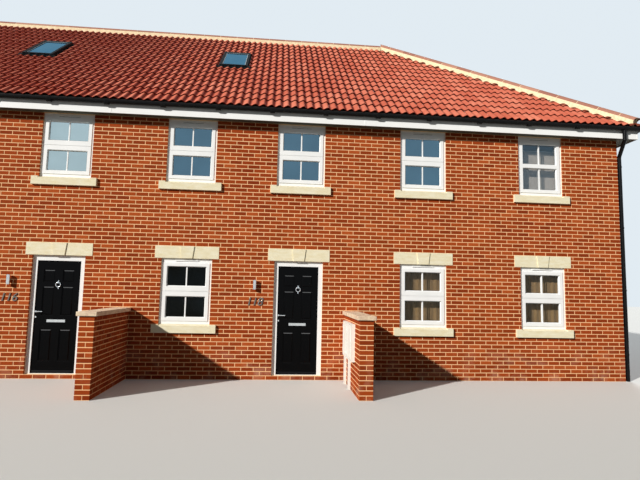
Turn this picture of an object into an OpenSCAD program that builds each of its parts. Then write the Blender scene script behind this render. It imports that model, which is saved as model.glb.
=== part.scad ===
// Terraced house row in brick: one wider house at the hipped right end and a row of
// two-bay houses beside it, under one pantiled roof with boxed eaves. The front faces -Y.
// Seen from the front the row's outer right corner is x = 0 before it is centred, its
// front wall face is y = 0, and z = 0 is the lowest ground that the walls run down to.
// Heights follow brick courses of 75 mm, and lengths follow bricks of 225 mm.

/* [Row] */
// Width of the end house, from its outer corner to the middle of its party wall
end_house_w = 5424; // [5300:1:6500]
// Width of each terraced house, middle to middle of its party walls
house_pitch = 4307; // [4200:1:5200]
// Number of terraced houses beside the end house
house_count = 3; // [3:1:5]
// Depth of the row over the outer faces of its walls
row_d = 8315; // [7500:5:9500]
// Thickness of the front, rear and side walls
outer_wall_t = 300; // [270:5:350]
// Thickness of the party walls
party_wall_t = 275; // [215:5:330]
// How far the tiles and boards stand out over the plain wall that ends the row
verge = 8; // [5:1:40]

/* [Storeys] */
// Height of one brick course with its joint
course_h = 75; // [65:1:80]
// Height of the base course that the paving hides
base_h = 75; // [60:1:150]
// Thickness of the ground floor slab, which is its top as well
ground_floor_t = 80; // [75:1:84]
// Top of the first floor
first_floor_z = 2775; // [2650:5:2900]
// Thickness of the first floor
first_floor_t = 250; // [200:5:300]
// Thickness of the loft floor
loft_floor_t = 200; // [150:5:250]
// Gap left between the loft floor and the rafters at the walls
loft_floor_gap = 40; // [10:1:80]
// Underside of the eaves soffit, where the upper windows end
soffit_z = 4800; // [4700:5:5100]

/* [Openings] */
// Width of every window and door opening
opening_w = 910; // [850:5:1000]
// Height of every window opening
window_h = 1200; // [1100:5:1300]
// Top of the ground floor window sills
ground_sill_z = 975; // [900:5:1050]
// How far the window frames are set back from the wall face
window_reveal = 35; // [20:1:100]
// How far the door frames are set back from the wall face
door_reveal = 45; // [10:1:100]
// Corner of the row to the middle of the first window
corner_to_window = 1632; // [1500:1:1900]
// First to second window of the end house
end_window_gap = 2395; // [2200:1:2600]
// Party wall to the middle of a house's front door
door_from_party = 988; // [900:1:1100]
// Party wall to the middle of a house's window
window_from_party = 3043; // [2900:1:3200]
// Corner of the side wall to the middle of its door
side_door_from_corner = 4157; // [3000:1:5500]

/* [Stone] */
// Height of the lintels over the ground floor openings
lintel_h = 225; // [150:5:300]
// Length of a lintel past each side of its opening
lintel_bearing = 120; // [100:5:150]
// How far a lintel goes into the wall
lintel_in = 100; // [80:1:120]
// How far a lintel stands out from the brick face
lintel_proud = 8; // [3:1:20]
// How far the keystone stands out from the brick face
keystone_proud = 24; // [10:1:40]
// Width of the keystone at its top
keystone_top_w = 250; // [200:5:300]
// Width of the keystone at its bottom
keystone_foot_w = 195; // [150:5:240]
// Height of the stone sills
sill_h = 150; // [100:5:170]
// Length of a sill's stooled end past its opening
sill_stool = 115; // [80:5:140]
// How far a sill stands out from the brick face
sill_proud = 50; // [30:1:80]
// Fall of a sill's weathered top
sill_fall = 24; // [10:1:40]

/* [Windows] */
// Depth of the window frames
frame_d = 70; // [60:1:80]
// Width of the outer frame that shows beside the sashes
frame_face = 42; // [25:1:55]
// Height of the outer frame and its vent over the sashes
frame_head = 81; // [40:1:90]
// Height of the outer frame that shows under the sashes
frame_foot = 62; // [50:1:90]
// How far the sashes stand out from the outer frame
sash_proud = 14; // [8:1:20]
// Width of a sash's stiles
sash_stile = 58; // [45:1:70]
// Height of a sash's top and bottom rail
sash_rail = 62; // [45:1:80]
// Height of the rails where the upper and lower sash meet
meeting_rail = 86; // [60:1:100]
// Height of the lower sash
lower_sash_h = 535; // [500:1:580]
// Groove between the upper and the lower sash
sash_gap = 6; // [4:1:12]
// Height of the one bar across a casement window
casement_bar = 76; // [40:1:90]
// Height of that bar's middle over the sill
casement_bar_z = 604; // [560:1:640]
// Thickness of a sealed glass unit
glass_t = 24; // [16:1:28]

/* [Doors] */
// Width of a door frame's jambs
jamb_w = 66; // [50:1:75]
// Height of a door frame's head
door_head_h = 85; // [50:1:100]
// Height of the threshold
threshold_h = 12; // [10:1:40]
// Thickness of a door leaf
leaf_t = 44; // [40:1:50]
// Gap round a door leaf, also to its stops
leaf_gap = 7; // [7:0.5:8]
// Width and depth of the stop that a leaf closes against
door_stop = 14; // [12:1:18]
// Width of a hinge's barrel
hinge_d = 14; // [12:1:18]
// Height of a hinge
hinge_h = 100; // [80:1:120]
// Width of a leaf's stiles
stile_w = 116; // [100:1:130]
// Width of the muntin between the panels
muntin_w = 128; // [100:1:140]
// Height of the top rail
top_rail_h = 165; // [100:1:180]
// Height of the small top panels
top_panel_h = 225; // [180:1:260]
// Height of the tall middle panels
middle_panel_h = 520; // [450:1:560]
// Height of the lower panels
lower_panel_h = 560; // [500:1:600]
// Height of the rail under the top panels
frieze_rail_h = 75; // [60:1:110]
// Height of the lock rail
lock_rail_h = 240; // [180:1:260]
// Depth of the sunk border round each panel
panel_sink = 9; // [5:1:12]
// How much smaller each raised field is than its panel
panel_border = 26; // [18:1:32]
// Width of the bevel round each raised field
panel_bevel = 14; // [8:1:20]
// Top of a leaf to the middle of its knocker
knocker_down = 437; // [380:1:480]
// Top of a leaf to its lever handle
handle_down = 918; // [880:1:980]
// Top of a leaf to the middle of its letter plate
letter_down = 1081; // [1040:1:1120]
// Edge of a leaf to its lever handle
handle_in = 30; // [26:1:50]
// Width of the letter plate
letter_w = 315; // [250:1:330]
// Height of the letter plate
letter_h = 46; // [38:1:60]
// Width of the knocker's ring
knocker_w = 95; // [70:1:110]
// Height of the knocker's backplate
knocker_h = 150; // [120:1:180]

/* [Roof] */
// Pitch of all three roof slopes
roof_pitch = 38.7; // [35:0.1:42]
// Height of the tile edge at the eaves
eaves_z = 5065; // [5030:5:5150]
// How far the tile edge overhangs the wall face
eaves_out = 260; // [240:5:300]
// How much further the eaves reach out over the side wall
side_extra = 116; // [0:1:150]
// Thickness of the roof, square to the slope
roof_t = 170; // [150:5:200]
// Thickness of the tiles and battens, square to the slope
tile_t = 45; // [35:1:60]
// Width of the seat that the rafters have on the wall top
rafter_seat = 60; // [40:5:100]
// Outer radius of the half-round ridge and hip tiles
ridge_r = 130; // [110:1:150]
// Thickness of the ridge and hip tiles
ridge_t = 16; // [12:1:20]
// How far the middle of the ridge and hip tiles lies over the meeting line of the slopes
ridge_rise = 5; // [0:1:30]
// Mortar joint between the hip tiles and the ridge tiles
ridge_joint = 3; // [2:1:10]
// Width of a roof window
roof_window_w = 640; // [550:1:780]
// Length of a roof window up the slope
roof_window_l = 1250; // [1100:1:1400]
// Party wall to the middle of a roof window
roof_window_from_party = 2517; // [1200:1:2900]
// Tile edge at the eaves to the middle of a roof window, up the slope
roof_window_up = 3250; // [2500:1:3500]
// How far a roof window's frame stands out from the tiles
roof_window_proud = 45; // [30:1:80]
// Width of a roof window's frame
roof_window_face = 55; // [45:1:80]

/* [Eaves] */
// Face of the fascia board to the wall face
eaves_box_w = 200; // [180:1:220]
// Thickness of the fascia board
fascia_t = 20; // [16:1:25]
// How far the fascia hangs under the soffit
fascia_lip = 16; // [10:1:25]
// Thickness of the soffit board
soffit_t = 10; // [9:1:16]
// Width of the gutter
gutter_w = 100; // [95:1:125]
// Depth of the gutter
gutter_h = 62; // [55:1:90]
// Wall thickness of the gutter
gutter_t = 4; // [3:1:6]
// Rim of the gutter under the tile edge
gutter_drop = 65; // [61:1:90]
// Spacing of the gutter brackets
bracket_pitch = 1000; // [800:10:1200]
// Width of a gutter bracket
bracket_w = 32; // [25:1:50]
// Thickness of a gutter bracket round the gutter
bracket_t = 6; // [4:1:8]
// Diameter of the downpipes
pipe_d = 76; // [60:1:80]
// Gap between a downpipe and the wall
pipe_gap = 36; // [20:1:40]
// Corner of the row to the gutter outlet
outlet_from_corner = 0; // [0:1:20]
// Corner of the row to the downpipe on the side wall
pipe_from_corner = 34; // [30:1:80]
// Drop of the swan neck from the soffit to the straight pipe
swan_neck_h = 330; // [280:1:450]

/* [Front Garden] */
// Thickness of a garden wall
garden_wall_t = 215; // [200:1:230]
// Length of a garden wall out from the house
garden_wall_l = 1690; // [1200:5:2400]
// Courses in a garden wall under its coping
garden_wall_courses = 16; // [14:1:18]
// How far the garden walls after the first stand to the right of their party wall
garden_wall_shift = 175; // [0:1:220]
// Thickness of the coping slabs
coping_t = 65; // [40:1:75]
// Overhang of the coping slabs
coping_out = 40; // [15:1:50]
// Length of each meter box along the garden wall
meter_l = 482; // [350:1:550]
// Height of the meter boxes
meter_h = 600; // [500:5:620]
// How far the meter boxes stand out from the garden wall
meter_d = 60; // [50:1:120]
// Underside of the meter boxes
meter_z = 507; // [450:1:540]
// House wall to the first meter box
meter_from_wall = 260; // [200:5:600]
// Gap between the meter boxes
meter_gap = 20; // [10:1:60]
// Width of the cover under each meter box
cover_w = 80; // [60:1:200]
// How far the covers stand out from the garden wall
cover_d = 40; // [20:1:50]
// Diameter of a wall lamp
lamp_d = 65; // [50:1:90]
// Height of a wall lamp
lamp_h = 170; // [150:1:240]
// Door opening to the middle of its wall lamp
lamp_from_door = 350; // [200:1:400]
// Height of the middle of a wall lamp
lamp_z = 1720; // [1600:5:1900]
// Gap between a wall lamp's body and the wall
lamp_gap = 30; // [20:1:60]

/* [Hidden] */
$fn = 48;

brick = "#a8502f";
stone = "#d9cda0";
white_board = "#f2f2f0";
black_board = "#1b1c1e";
tile_red = "#a4432f";
grey_floor = "#9b9b96";
pane = "#5f7480";
chrome_look = "#c9ccd0";

mid_y = row_d / 2;
row_l = end_house_w + house_count * house_pitch + party_wall_t / 2;
x_left = -row_l;
head_z = ground_sill_z + window_h;
upper_sill_z = soffit_z - window_h;
sash_bottom_z = frame_foot;
leaf_w = opening_w - 2 * jamb_w - 2 * leaf_gap;
leaf_z = base_h + threshold_h + leaf_gap;
leaf_h = head_z - door_head_h - leaf_gap - leaf_z;
leaf_y = door_reveal + door_stop + leaf_gap;
door_frame_d = door_stop + leaf_gap + leaf_t;
inner_y = door_reveal + door_frame_d;
hinge_y = inner_y + hinge_d / 2 + 1;
hinge_x = leaf_w / 2 + leaf_gap / 2;
panel_w = (leaf_w - 2 * stile_w - muntin_w) / 2;

slope = tan(roof_pitch);
roof_v = roof_t / cos(roof_pitch);
tile_v = tile_t / cos(roof_pitch);
ridge_z = top_z(mid_y);
wall_top = under_z(rafter_seat);
side_wall_top = under_z(side_extra + rafter_seat);
hip_x = side_extra - mid_y;
bed_gap = 0.2;
rafter_out = eaves_box_w - fascia_t;
fascia_top = top_z(-eaves_box_w) - tile_v;
fascia_foot = soffit_z - fascia_lip;
loft_floor_z = under_z(outer_wall_t) - loft_floor_gap - loft_floor_t;
gutter_rim = eaves_z - gutter_drop;
gutter_mid = eaves_box_w + gutter_w / 2;
gutter_reach = eaves_box_w + gutter_w + bracket_t;
garden_wall_h = garden_wall_courses * course_h;
hip_fall = tan(acos(pow(cos(roof_pitch), 2)) / 2);

x_mid = (x_left + gutter_reach + side_extra) / 2;
y_mid = (row_d + gutter_reach - garden_wall_l - coping_out) / 2;

houses = [0:house_count - 1];
hinged_houses = [0, 1];
fixed_houses = [2:house_count - 1];

// Roof planes by their distance inwards from a wall face
function top_z(d) = eaves_z + (d + eaves_out) * slope;
function under_z(d) = top_z(d) - roof_v;

// Middles along the front, counted leftwards from the end house
function party_x(i) = -end_house_w - i * house_pitch;
function door_x(i) = party_x(i) - door_from_party;
function house_window_x(i) = party_x(i) - window_from_party;
function garden_wall_x(i) = party_x(i) + (i == 0 ? 0 : garden_wall_shift);
end_windows = [-corner_to_window, -corner_to_window - end_window_gap];
lower_windows = [for (x = end_windows) x, for (i = houses) house_window_x(i)];
all_doors = [for (i = houses) door_x(i)];
all_bays = [for (x = lower_windows) x, for (x = all_doors) x];
sash_bays = [for (x = all_bays) if (x != -corner_to_window) x];

// Puts the row's plan middle on the origin
module centred() { translate([-x_mid, -y_mid, 0]) children(); }

// Turns a piece of the front into the same piece of the rear
module at_rear() { translate([0, row_d, 0]) mirror([0, 1, 0]) children(); }

// Turns a piece made for the front at x = 0 into the same piece of the side wall
module at_side(y) { translate([0, y, 0]) rotate([0, 0, 90]) children(); }

// A box from one corner to the other
module block(p, q) { translate(p) cube(q - p); }

// A profile of (distance inwards, height) swept along the front from x0 to x1
module along_front(x0, x1) {
    translate([x0, 0, 0]) rotate([90, 0, 90]) linear_extrude(x1 - x0) children();
}

// A like profile swept along the side, its zero at the wall line that the side eaves keep
module along_side(y0, y1) {
    translate([side_extra, y1, 0]) rotate([90, 0, 0]) linear_extrude(y1 - y0) mirror([1, 0])
        children();
}

// A profile with its top along +y, swept from point p to point q
module along_line(p, q) {
    v = q - p;
    translate(p) rotate([0, acos(v.z / norm(v)), atan2(v.y, v.x)])
        linear_extrude(norm(v)) rotate(90) children();
}

// A plan outline as a tall prism, to mitre what runs round the corners
module plan_prism(points) { linear_extrude(2 * ridge_z) polygon(points); }

// Plan of a strip from distance a to distance b outside the front wall, mitred at the corner
module front_strip(a, b) {
    plan_prism([[x_left, -b], [b + side_extra, -b], [a + side_extra, -a], [x_left, -a]]);
}

// Plan of the like strip outside the side wall, mitred at both corners
module side_strip(a, b) {
    x_a = a + side_extra;
    x_b = b + side_extra;
    plan_prism([[x_a, -a], [x_b, -b], [x_b, row_d + b], [x_a, row_d + a]]);
}

// Opening for a window through the front wall, with the pocket of its sill
module window_hole(z) {
    block([-opening_w / 2, -1, z], [opening_w / 2, outer_wall_t + 1, z + window_h]);
    block([-opening_w / 2 - sill_stool, -1, z - sill_h],
          [opening_w / 2 + sill_stool, window_reveal + frame_d, z]);
}

// Pocket for a lintel in the face of the front wall
module lintel_pocket() {
    block([-opening_w / 2 - lintel_bearing, -1, head_z],
          [opening_w / 2 + lintel_bearing, lintel_in, head_z + lintel_h]);
}

// Front wall up to the door heads: a panel of brickwork beside each doorway
module front_wall_lower() {
    color(brick) difference() {
        block([x_left + party_wall_t, 0, 0], [0, outer_wall_t, head_z]);
        for (x = all_doors)
            block([x - opening_w / 2, -1, -1], [x + opening_w / 2, outer_wall_t + 1, head_z + 1]);
        for (x = lower_windows) translate([x, 0, 0]) window_hole(ground_sill_z);
    }
}

// Front wall over the door heads, as one run over all doorways
module front_wall_upper() {
    color(brick) difference() {
        block([x_left + party_wall_t, 0, head_z], [0, outer_wall_t, wall_top]);
        for (x = all_bays) translate([x, 0, 0]) {
            window_hole(upper_sill_z);
            lintel_pocket();
        }
    }
}

// Rear wall, with a window in every bay of both storeys
module rear_wall() {
    color(brick) at_rear() difference() {
        block([x_left + party_wall_t, 0, 0], [0, outer_wall_t, wall_top]);
        for (x = all_bays) translate([x, 0, 0]) {
            window_hole(ground_sill_z);
            window_hole(upper_sill_z);
            lintel_pocket();
        }
    }
}

// Side wall of the end house, level under the hip, with the end house's door
module side_wall() {
    color(brick) difference() {
        block([-outer_wall_t, outer_wall_t, 0], [0, row_d - outer_wall_t, side_wall_top]);
        at_side(side_door_from_corner) {
            block([-opening_w / 2, -1, -1], [opening_w / 2, outer_wall_t + 1, head_z]);
            lintel_pocket();
        }
    }
}

// Outline of a party wall between the front and rear walls, up to the rafters
module party_wall_outline() {
    polygon([
        [outer_wall_t, 0], [row_d - outer_wall_t, 0],
        [row_d - outer_wall_t, under_z(outer_wall_t) - bed_gap],
        [mid_y, under_z(mid_y) - bed_gap], [outer_wall_t, under_z(outer_wall_t) - bed_gap]
    ]);
}

// Outline of the row's left end wall, which also closes the front and rear walls
module end_wall_outline() {
    polygon([
        [0, 0], [row_d, 0], [row_d, wall_top],
        [row_d - rafter_seat - bed_gap / slope, wall_top], [mid_y, under_z(mid_y) - bed_gap],
        [rafter_seat + bed_gap / slope, wall_top], [0, wall_top]
    ]);
}

// Party walls between the houses, and the plain one that ends the row
module party_walls() {
    color(brick) {
        for (i = houses)
            along_front(party_x(i) - party_wall_t / 2, party_x(i) + party_wall_t / 2)
                party_wall_outline();
        along_front(x_left + verge, x_left + party_wall_t) end_wall_outline();
    }
}

// The course of brick that carries each door's threshold
module door_steps() {
    color(brick) {
        for (x = all_doors) translate([x, 0, 0]) door_step();
        at_side(side_door_from_corner) door_step();
    }
}

module door_step() {
    block([-opening_w / 2, 0, 0], [opening_w / 2, outer_wall_t, base_h]);
}

// One floor slab in each house, between its walls
module floor_slabs(z0, z1) {
    y0 = outer_wall_t;
    y1 = row_d - outer_wall_t;
    block([party_x(0) + party_wall_t / 2, y0, z0], [-outer_wall_t, y1, z1]);
    for (i = houses)
        block([party_x(i + 1) + party_wall_t / 2, y0, z0], [party_x(i) - party_wall_t / 2, y1, z1]);
}

module ground_floor() { color(grey_floor) floor_slabs(0, ground_floor_t); }

module first_floor() { color(grey_floor) floor_slabs(first_floor_z - first_floor_t, first_floor_z); }

module loft_floor() { color(grey_floor) floor_slabs(loft_floor_z, loft_floor_z + loft_floor_t); }

// Section of a roof slope: tile edge over the gutter, rafters cut plumb behind the fascia
// and seated on a wall whose face is at distance face, as (distance inwards, height)
module slope_section(face) {
    seat_z = under_z(face + rafter_seat);
    polygon([
        [-eaves_out, eaves_z], [mid_y, ridge_z], [mid_y, ridge_z - roof_v],
        [face + rafter_seat, seat_z], [face, seat_z], [face, under_z(face)],
        [-rafter_out, under_z(-rafter_out)], [-rafter_out, top_z(-rafter_out) - tile_v],
        [-eaves_out, eaves_z - tile_v]
    ]);
}

// Moves a piece to a place on the front slope: x along the row, up the slope from the eaves
module on_front_slope(x, up) {
    translate([x, -eaves_out, eaves_z]) rotate([roof_pitch, 0, 0]) translate([0, up, 0])
        children();
}

module plain_front_slope() {
    intersection() {
        along_front(x_left, eaves_out + side_extra) slope_section(0);
        plan_prism([
            [x_left, -eaves_out], [eaves_out + side_extra, -eaves_out],
            [hip_x, mid_y], [x_left, mid_y]
        ]);
    }
}

// Front slope, with a hole for each roof window
module front_roof_slope() {
    color(tile_red) difference() {
        plain_front_slope();
        at_roof_windows(0, -3 * roof_t, roof_t);
    }
}

module rear_roof_slope() { color(tile_red) at_rear() plain_front_slope(); }

// Hip slope over the side wall, mitred to the front and rear slopes
module hip_roof_slope() {
    x_out = eaves_out + side_extra;
    color(tile_red) intersection() {
        along_side(-eaves_out, row_d + eaves_out) slope_section(side_extra);
        plan_prism([[x_out, -eaves_out], [x_out, row_d + eaves_out], [hip_x, mid_y]]);
    }
}

// Half-round tile section, its middle at the given height over the meeting line
module half_round(rise) {
    translate([0, rise]) difference() {
        circle(r = ridge_r);
        circle(r = ridge_r - ridge_t);
        translate([-2 * ridge_r, -4 * ridge_r]) square([4 * ridge_r, 4 * ridge_r]);
    }
}

// Mortar section under a half-round tile, down to slopes that fall away on both sides
module bed_section(rise, fall) {
    w = ridge_r - ridge_t / 2;
    difference() {
        union() {
            translate([0, rise]) intersection() {
                circle(r = ridge_r - ridge_t);
                translate([-ridge_r, 0]) square([2 * ridge_r, ridge_r]);
            }
            translate([-w, rise - ridge_r]) square([2 * w, ridge_r]);
        }
        translate([0, bed_gap]) polygon([
            [0, 0], [2 * w, -2 * w * fall], [2 * w, -9 * w],
            [-2 * w, -9 * w], [-2 * w, -2 * w * fall]
        ]);
    }
}

// A run along the ridge, from the left end to the top of the hips
module ridge_run() { along_line([x_left, mid_y, ridge_z], [hip_x, mid_y, ridge_z]) children(); }

// A run down the front hip, mitred at its top and cut plumb at the eaves
module hip_run() {
    x_out = eaves_out + side_extra;
    intersection() {
        along_line([x_out + eaves_out, -2 * eaves_out, eaves_z - eaves_out * slope],
                   [hip_x - eaves_out, mid_y + eaves_out, ridge_z + eaves_out * slope]) children();
        plan_prism([
            [hip_x + ridge_joint, mid_y - ridge_joint / 2], [hip_x + ridge_joint, -eaves_out],
            [x_out, -eaves_out], [x_out, mid_y - ridge_joint / 2]
        ]);
    }
}

module ridge_tiles() { color(tile_red) ridge_run() half_round(ridge_rise); }

module hip_tiles() {
    color(tile_red) {
        hip_run() half_round(ridge_rise);
        at_rear() hip_run() half_round(ridge_rise);
    }
}

// Mortar that beds the ridge and hip tiles
module ridge_and_hip_mortar() {
    color(stone) {
        ridge_run() bed_section(ridge_rise, slope);
        hip_run() bed_section(ridge_rise, hip_fall);
        at_rear() hip_run() bed_section(ridge_rise, hip_fall);
    }
}

// Fascia board with the soffit board in its groove, along the front
module front_boards() {
    intersection() {
        front_strip(eaves_box_w - fascia_t, eaves_box_w);
        block([x_left, -eaves_out, fascia_foot], [eaves_out + side_extra, 0, fascia_top]);
    }
    intersection() {
        front_strip(0, eaves_box_w - fascia_t);
        block([x_left, -eaves_out, soffit_z], [eaves_out + side_extra, 0, soffit_z + soffit_t]);
    }
}

module front_eaves_boards() { color(white_board) front_boards(); }

module rear_eaves_boards() { color(white_board) at_rear() front_boards(); }

module side_eaves_boards() {
    color(white_board) {
        intersection() {
            side_strip(eaves_box_w - fascia_t, eaves_box_w);
            block([0, -eaves_out, fascia_foot],
                  [eaves_out + side_extra, row_d + eaves_out, fascia_top]);
        }
        intersection() {
            side_strip(0, eaves_box_w - fascia_t);
            block([0, -eaves_out, soffit_z],
                  [eaves_out + side_extra, row_d + eaves_out, soffit_z + soffit_t]);
        }
        block([0, 0, soffit_z], [side_extra, row_d, soffit_z + soffit_t]);
    }
}

// Deep half-round outline as (distance inwards, height), larger all round by grow
module gutter_outline(grow) {
    r = gutter_w / 2 + grow;
    flat = gutter_h - gutter_w / 2;
    translate([-gutter_mid, gutter_rim - flat]) {
        intersection() {
            circle(r = r);
            translate([-r, -r]) square([2 * r, r]);
        }
        translate([-r, 0]) square([2 * r, flat]);
    }
}

module gutter_section() {
    difference() {
        gutter_outline(0);
        translate([0, gutter_t]) intersection() {
            gutter_outline(-gutter_t);
            translate([-2 * gutter_mid, gutter_rim - gutter_h]) square([4 * gutter_mid, gutter_h]);
        }
        translate([-gutter_mid - gutter_w / 2 + gutter_t, gutter_rim - gutter_t])
            square([gutter_w - 2 * gutter_t, 2 * gutter_t]);
    }
}

module bracket_section() {
    difference() {
        gutter_outline(bracket_t);
        gutter_outline(-gutter_t / 2);
        translate([-eaves_box_w, 0]) square([eaves_box_w, 2 * ridge_z]);
    }
}

// Front gutter on its brackets, with a stop end at the left and a mitre at the corner
module front_gutter_run() {
    intersection() {
        along_front(x_left, gutter_reach + side_extra) gutter_section();
        front_strip(eaves_box_w, gutter_reach);
    }
    along_front(x_left, x_left + gutter_t) gutter_outline(0);
    for (x = [x_left + bracket_pitch / 2:bracket_pitch:0])
        along_front(x - bracket_w / 2, x + bracket_w / 2) bracket_section();
}

module front_gutter() { color(black_board) front_gutter_run(); }

module rear_gutter() { color(black_board) at_rear() front_gutter_run(); }

module side_gutter() {
    color(black_board) {
        intersection() {
            along_side(-gutter_reach, row_d + gutter_reach) gutter_section();
            side_strip(eaves_box_w, gutter_reach);
        }
        for (y = [bracket_pitch / 2:bracket_pitch:row_d])
            along_side(y - bracket_w / 2, y + bracket_w / 2) bracket_section();
    }
}

// A length of round pipe from p to q
module pipe(p, q, d) { along_line(p, q) circle(d = d); }

// Downpipe: outlet in front of the fascia, swan neck round the corner, pipe on clips
module downpipe() {
    wall_x = pipe_d / 2 + pipe_gap;
    top = [-outlet_from_corner, -gutter_mid, gutter_rim - gutter_h];
    bend = [top.x, top.y, soffit_z - fascia_lip - pipe_d / 2];
    foot = [wall_x, pipe_from_corner, soffit_z - swan_neck_h];
    pipe(top, bend, pipe_d);
    translate(bend) sphere(d = socket_d);
    pipe(bend, foot, pipe_d);
    translate(foot) sphere(d = socket_d);
    pipe([foot.x, foot.y, 0], foot, pipe_d);
    for (z = [clip_first:clip_pitch:foot.z]) translate([foot.x, foot.y, z]) {
        cylinder(d = pipe_d + 2 * clip_t, h = clip_h);
        translate([-wall_x, -clip_h / 2, 0]) cube([wall_x, clip_h, clip_h]);
    }
}

socket_d = pipe_d + 8;
clip_first = 500;
clip_pitch = 1250;
clip_h = 30;
clip_t = 5;

module downpipes() {
    color(black_board) {
        downpipe();
        at_rear() downpipe();
    }
}

// Stone lintel with a raised keystone, made for an opening at x = 0
module lintel() {
    half = opening_w / 2 + lintel_bearing;
    block([-half, -lintel_proud, head_z], [half, lintel_in, head_z + lintel_h]);
    translate([0, -lintel_proud, head_z]) rotate([90, 0, 0])
        linear_extrude(keystone_proud - lintel_proud) polygon([
            [-keystone_foot_w / 2, 0], [keystone_foot_w / 2, 0],
            [keystone_top_w / 2, lintel_h], [-keystone_top_w / 2, lintel_h]
        ]);
}

module lintels() {
    color(stone) {
        for (x = all_bays) translate([x, 0, 0]) lintel();
        at_rear() for (x = all_bays) translate([x, 0, 0]) lintel();
        at_side(side_door_from_corner) lintel();
    }
}

// Stone sill with a weathered top between its stooled ends
module sill(z) {
    half = opening_w / 2 + sill_stool;
    inner = window_reveal + frame_d;
    over = sill_fall / (window_reveal + sill_proud);
    difference() {
        block([-half, -sill_proud, z - sill_h], [half, inner, z]);
        along_front(-opening_w / 2, opening_w / 2) polygon([
            [window_reveal, z], [-sill_proud - 1, z - sill_fall - over],
            [-sill_proud - 1, z + 1], [window_reveal, z + 1]
        ]);
    }
}

module sills() {
    color(stone) {
        for (x = lower_windows) translate([x, 0, 0]) sill(ground_sill_z);
        for (x = all_bays) translate([x, 0, 0]) sill(upper_sill_z);
        at_rear() for (x = all_bays) translate([x, 0, 0]) {
            sill(ground_sill_z);
            sill(upper_sill_z);
        }
    }
}

// A flat frame of depth d: w by h outside, with holes given as [x0, z0, x1, z1]
module cut_frame(w, h, d, holes) {
    difference() {
        block([-w / 2, 0, 0], [w / 2, d, h]);
        for (o = holes) block([o[0], -1, o[1]], [o[2], d + 1, o[3]]);
    }
}

// Glass openings of a window, as [x0, z0, x1, z1] from the foot of its opening
glass_x = opening_w / 2 - frame_face - sash_stile;
lower_sash_top = sash_bottom_z + lower_sash_h;
upper_sash_z = lower_sash_top + sash_gap;
sash_top = window_h - frame_head;
sash_w = opening_w - 2 * frame_face;
sash_panes = [
    [-glass_x, sash_bottom_z + sash_rail, glass_x, lower_sash_top - meeting_rail],
    [-glass_x, upper_sash_z + meeting_rail, glass_x, sash_top - sash_rail]
];
casement_panes = [
    [-glass_x, sash_bottom_z + sash_rail, glass_x, casement_bar_z - casement_bar / 2],
    [-glass_x, casement_bar_z + casement_bar / 2, glass_x, sash_top - sash_rail]
];

// Window with a top-hung upper sash and a lower sash, in the opening whose foot is z
module sash_window(z) {
    translate([0, window_reveal, z]) {
        cut_frame(opening_w, window_h, frame_d, sash_panes);
        translate([0, -sash_proud, 0]) difference() {
            block([-sash_w / 2, 0, sash_bottom_z], [sash_w / 2, sash_proud, sash_top]);
            block([-sash_w, -1, lower_sash_top], [sash_w, sash_proud + 1, upper_sash_z]);
            for (o = sash_panes) block([o[0], -1, o[1]], [o[2], sash_proud + 1, o[3]]);
        }
    }
}

// Window with one casement and a bar across it
module casement_window(z) {
    translate([0, window_reveal, z]) {
        cut_frame(opening_w, window_h, frame_d, casement_panes);
        translate([0, -sash_proud, 0]) difference() {
            block([-sash_w / 2, 0, sash_bottom_z], [sash_w / 2, sash_proud, sash_top]);
            for (o = casement_panes) block([o[0], -1, o[1]], [o[2], sash_proud + 1, o[3]]);
        }
    }
}

// Sealed glass units of a window
module glazing(z, panes) {
    for (o = panes) translate([0, window_reveal + (frame_d - glass_t) / 2, z])
        block([o[0], 0, o[1]], [o[2], glass_t, o[3]]);
}

module front_lower_windows() {
    color(white_board) for (x = lower_windows) translate([x, 0, 0]) sash_window(ground_sill_z);
}

// The window nearest the corner is a casement, as in the photo, and the others have sashes
module front_upper_windows() {
    color(white_board) {
        for (x = sash_bays) translate([x, 0, 0]) sash_window(upper_sill_z);
        translate([-corner_to_window, 0, 0]) casement_window(upper_sill_z);
    }
}

module rear_windows() {
    color(white_board) at_rear() for (x = all_bays) translate([x, 0, 0]) {
        sash_window(ground_sill_z);
        sash_window(upper_sill_z);
    }
}

module front_lower_glass() {
    color(pane) for (x = lower_windows) translate([x, 0, 0]) glazing(ground_sill_z, sash_panes);
}

module front_upper_glass() {
    color(pane) {
        for (x = sash_bays) translate([x, 0, 0]) glazing(upper_sill_z, sash_panes);
        translate([-corner_to_window, 0, 0]) glazing(upper_sill_z, casement_panes);
    }
}

module rear_glass() {
    color(pane) at_rear() for (x = all_bays) translate([x, 0, 0]) {
        glazing(ground_sill_z, sash_panes);
        glazing(upper_sill_z, sash_panes);
    }
}

// A box in the plane of each roof window, smaller all round by edge, from height h0 to h1
module at_roof_windows(edge, h0, h1) {
    w = roof_window_w - 2 * edge;
    l = roof_window_l - 2 * edge;
    for (i = houses) on_front_slope(party_x(i) - roof_window_from_party, roof_window_up)
        block([-w / 2, -l / 2, h0], [w / 2, l / 2, h1]);
}

// Roof window frames, each in its hole in the front slope
module roof_window_frames() {
    color(black_board) difference() {
        at_roof_windows(0, -roof_t, roof_window_proud);
        at_roof_windows(roof_window_face, -2 * roof_t, roof_t);
    }
}

module roof_window_glass() {
    color(pane) at_roof_windows(roof_window_face, 0, glass_t);
}

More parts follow.
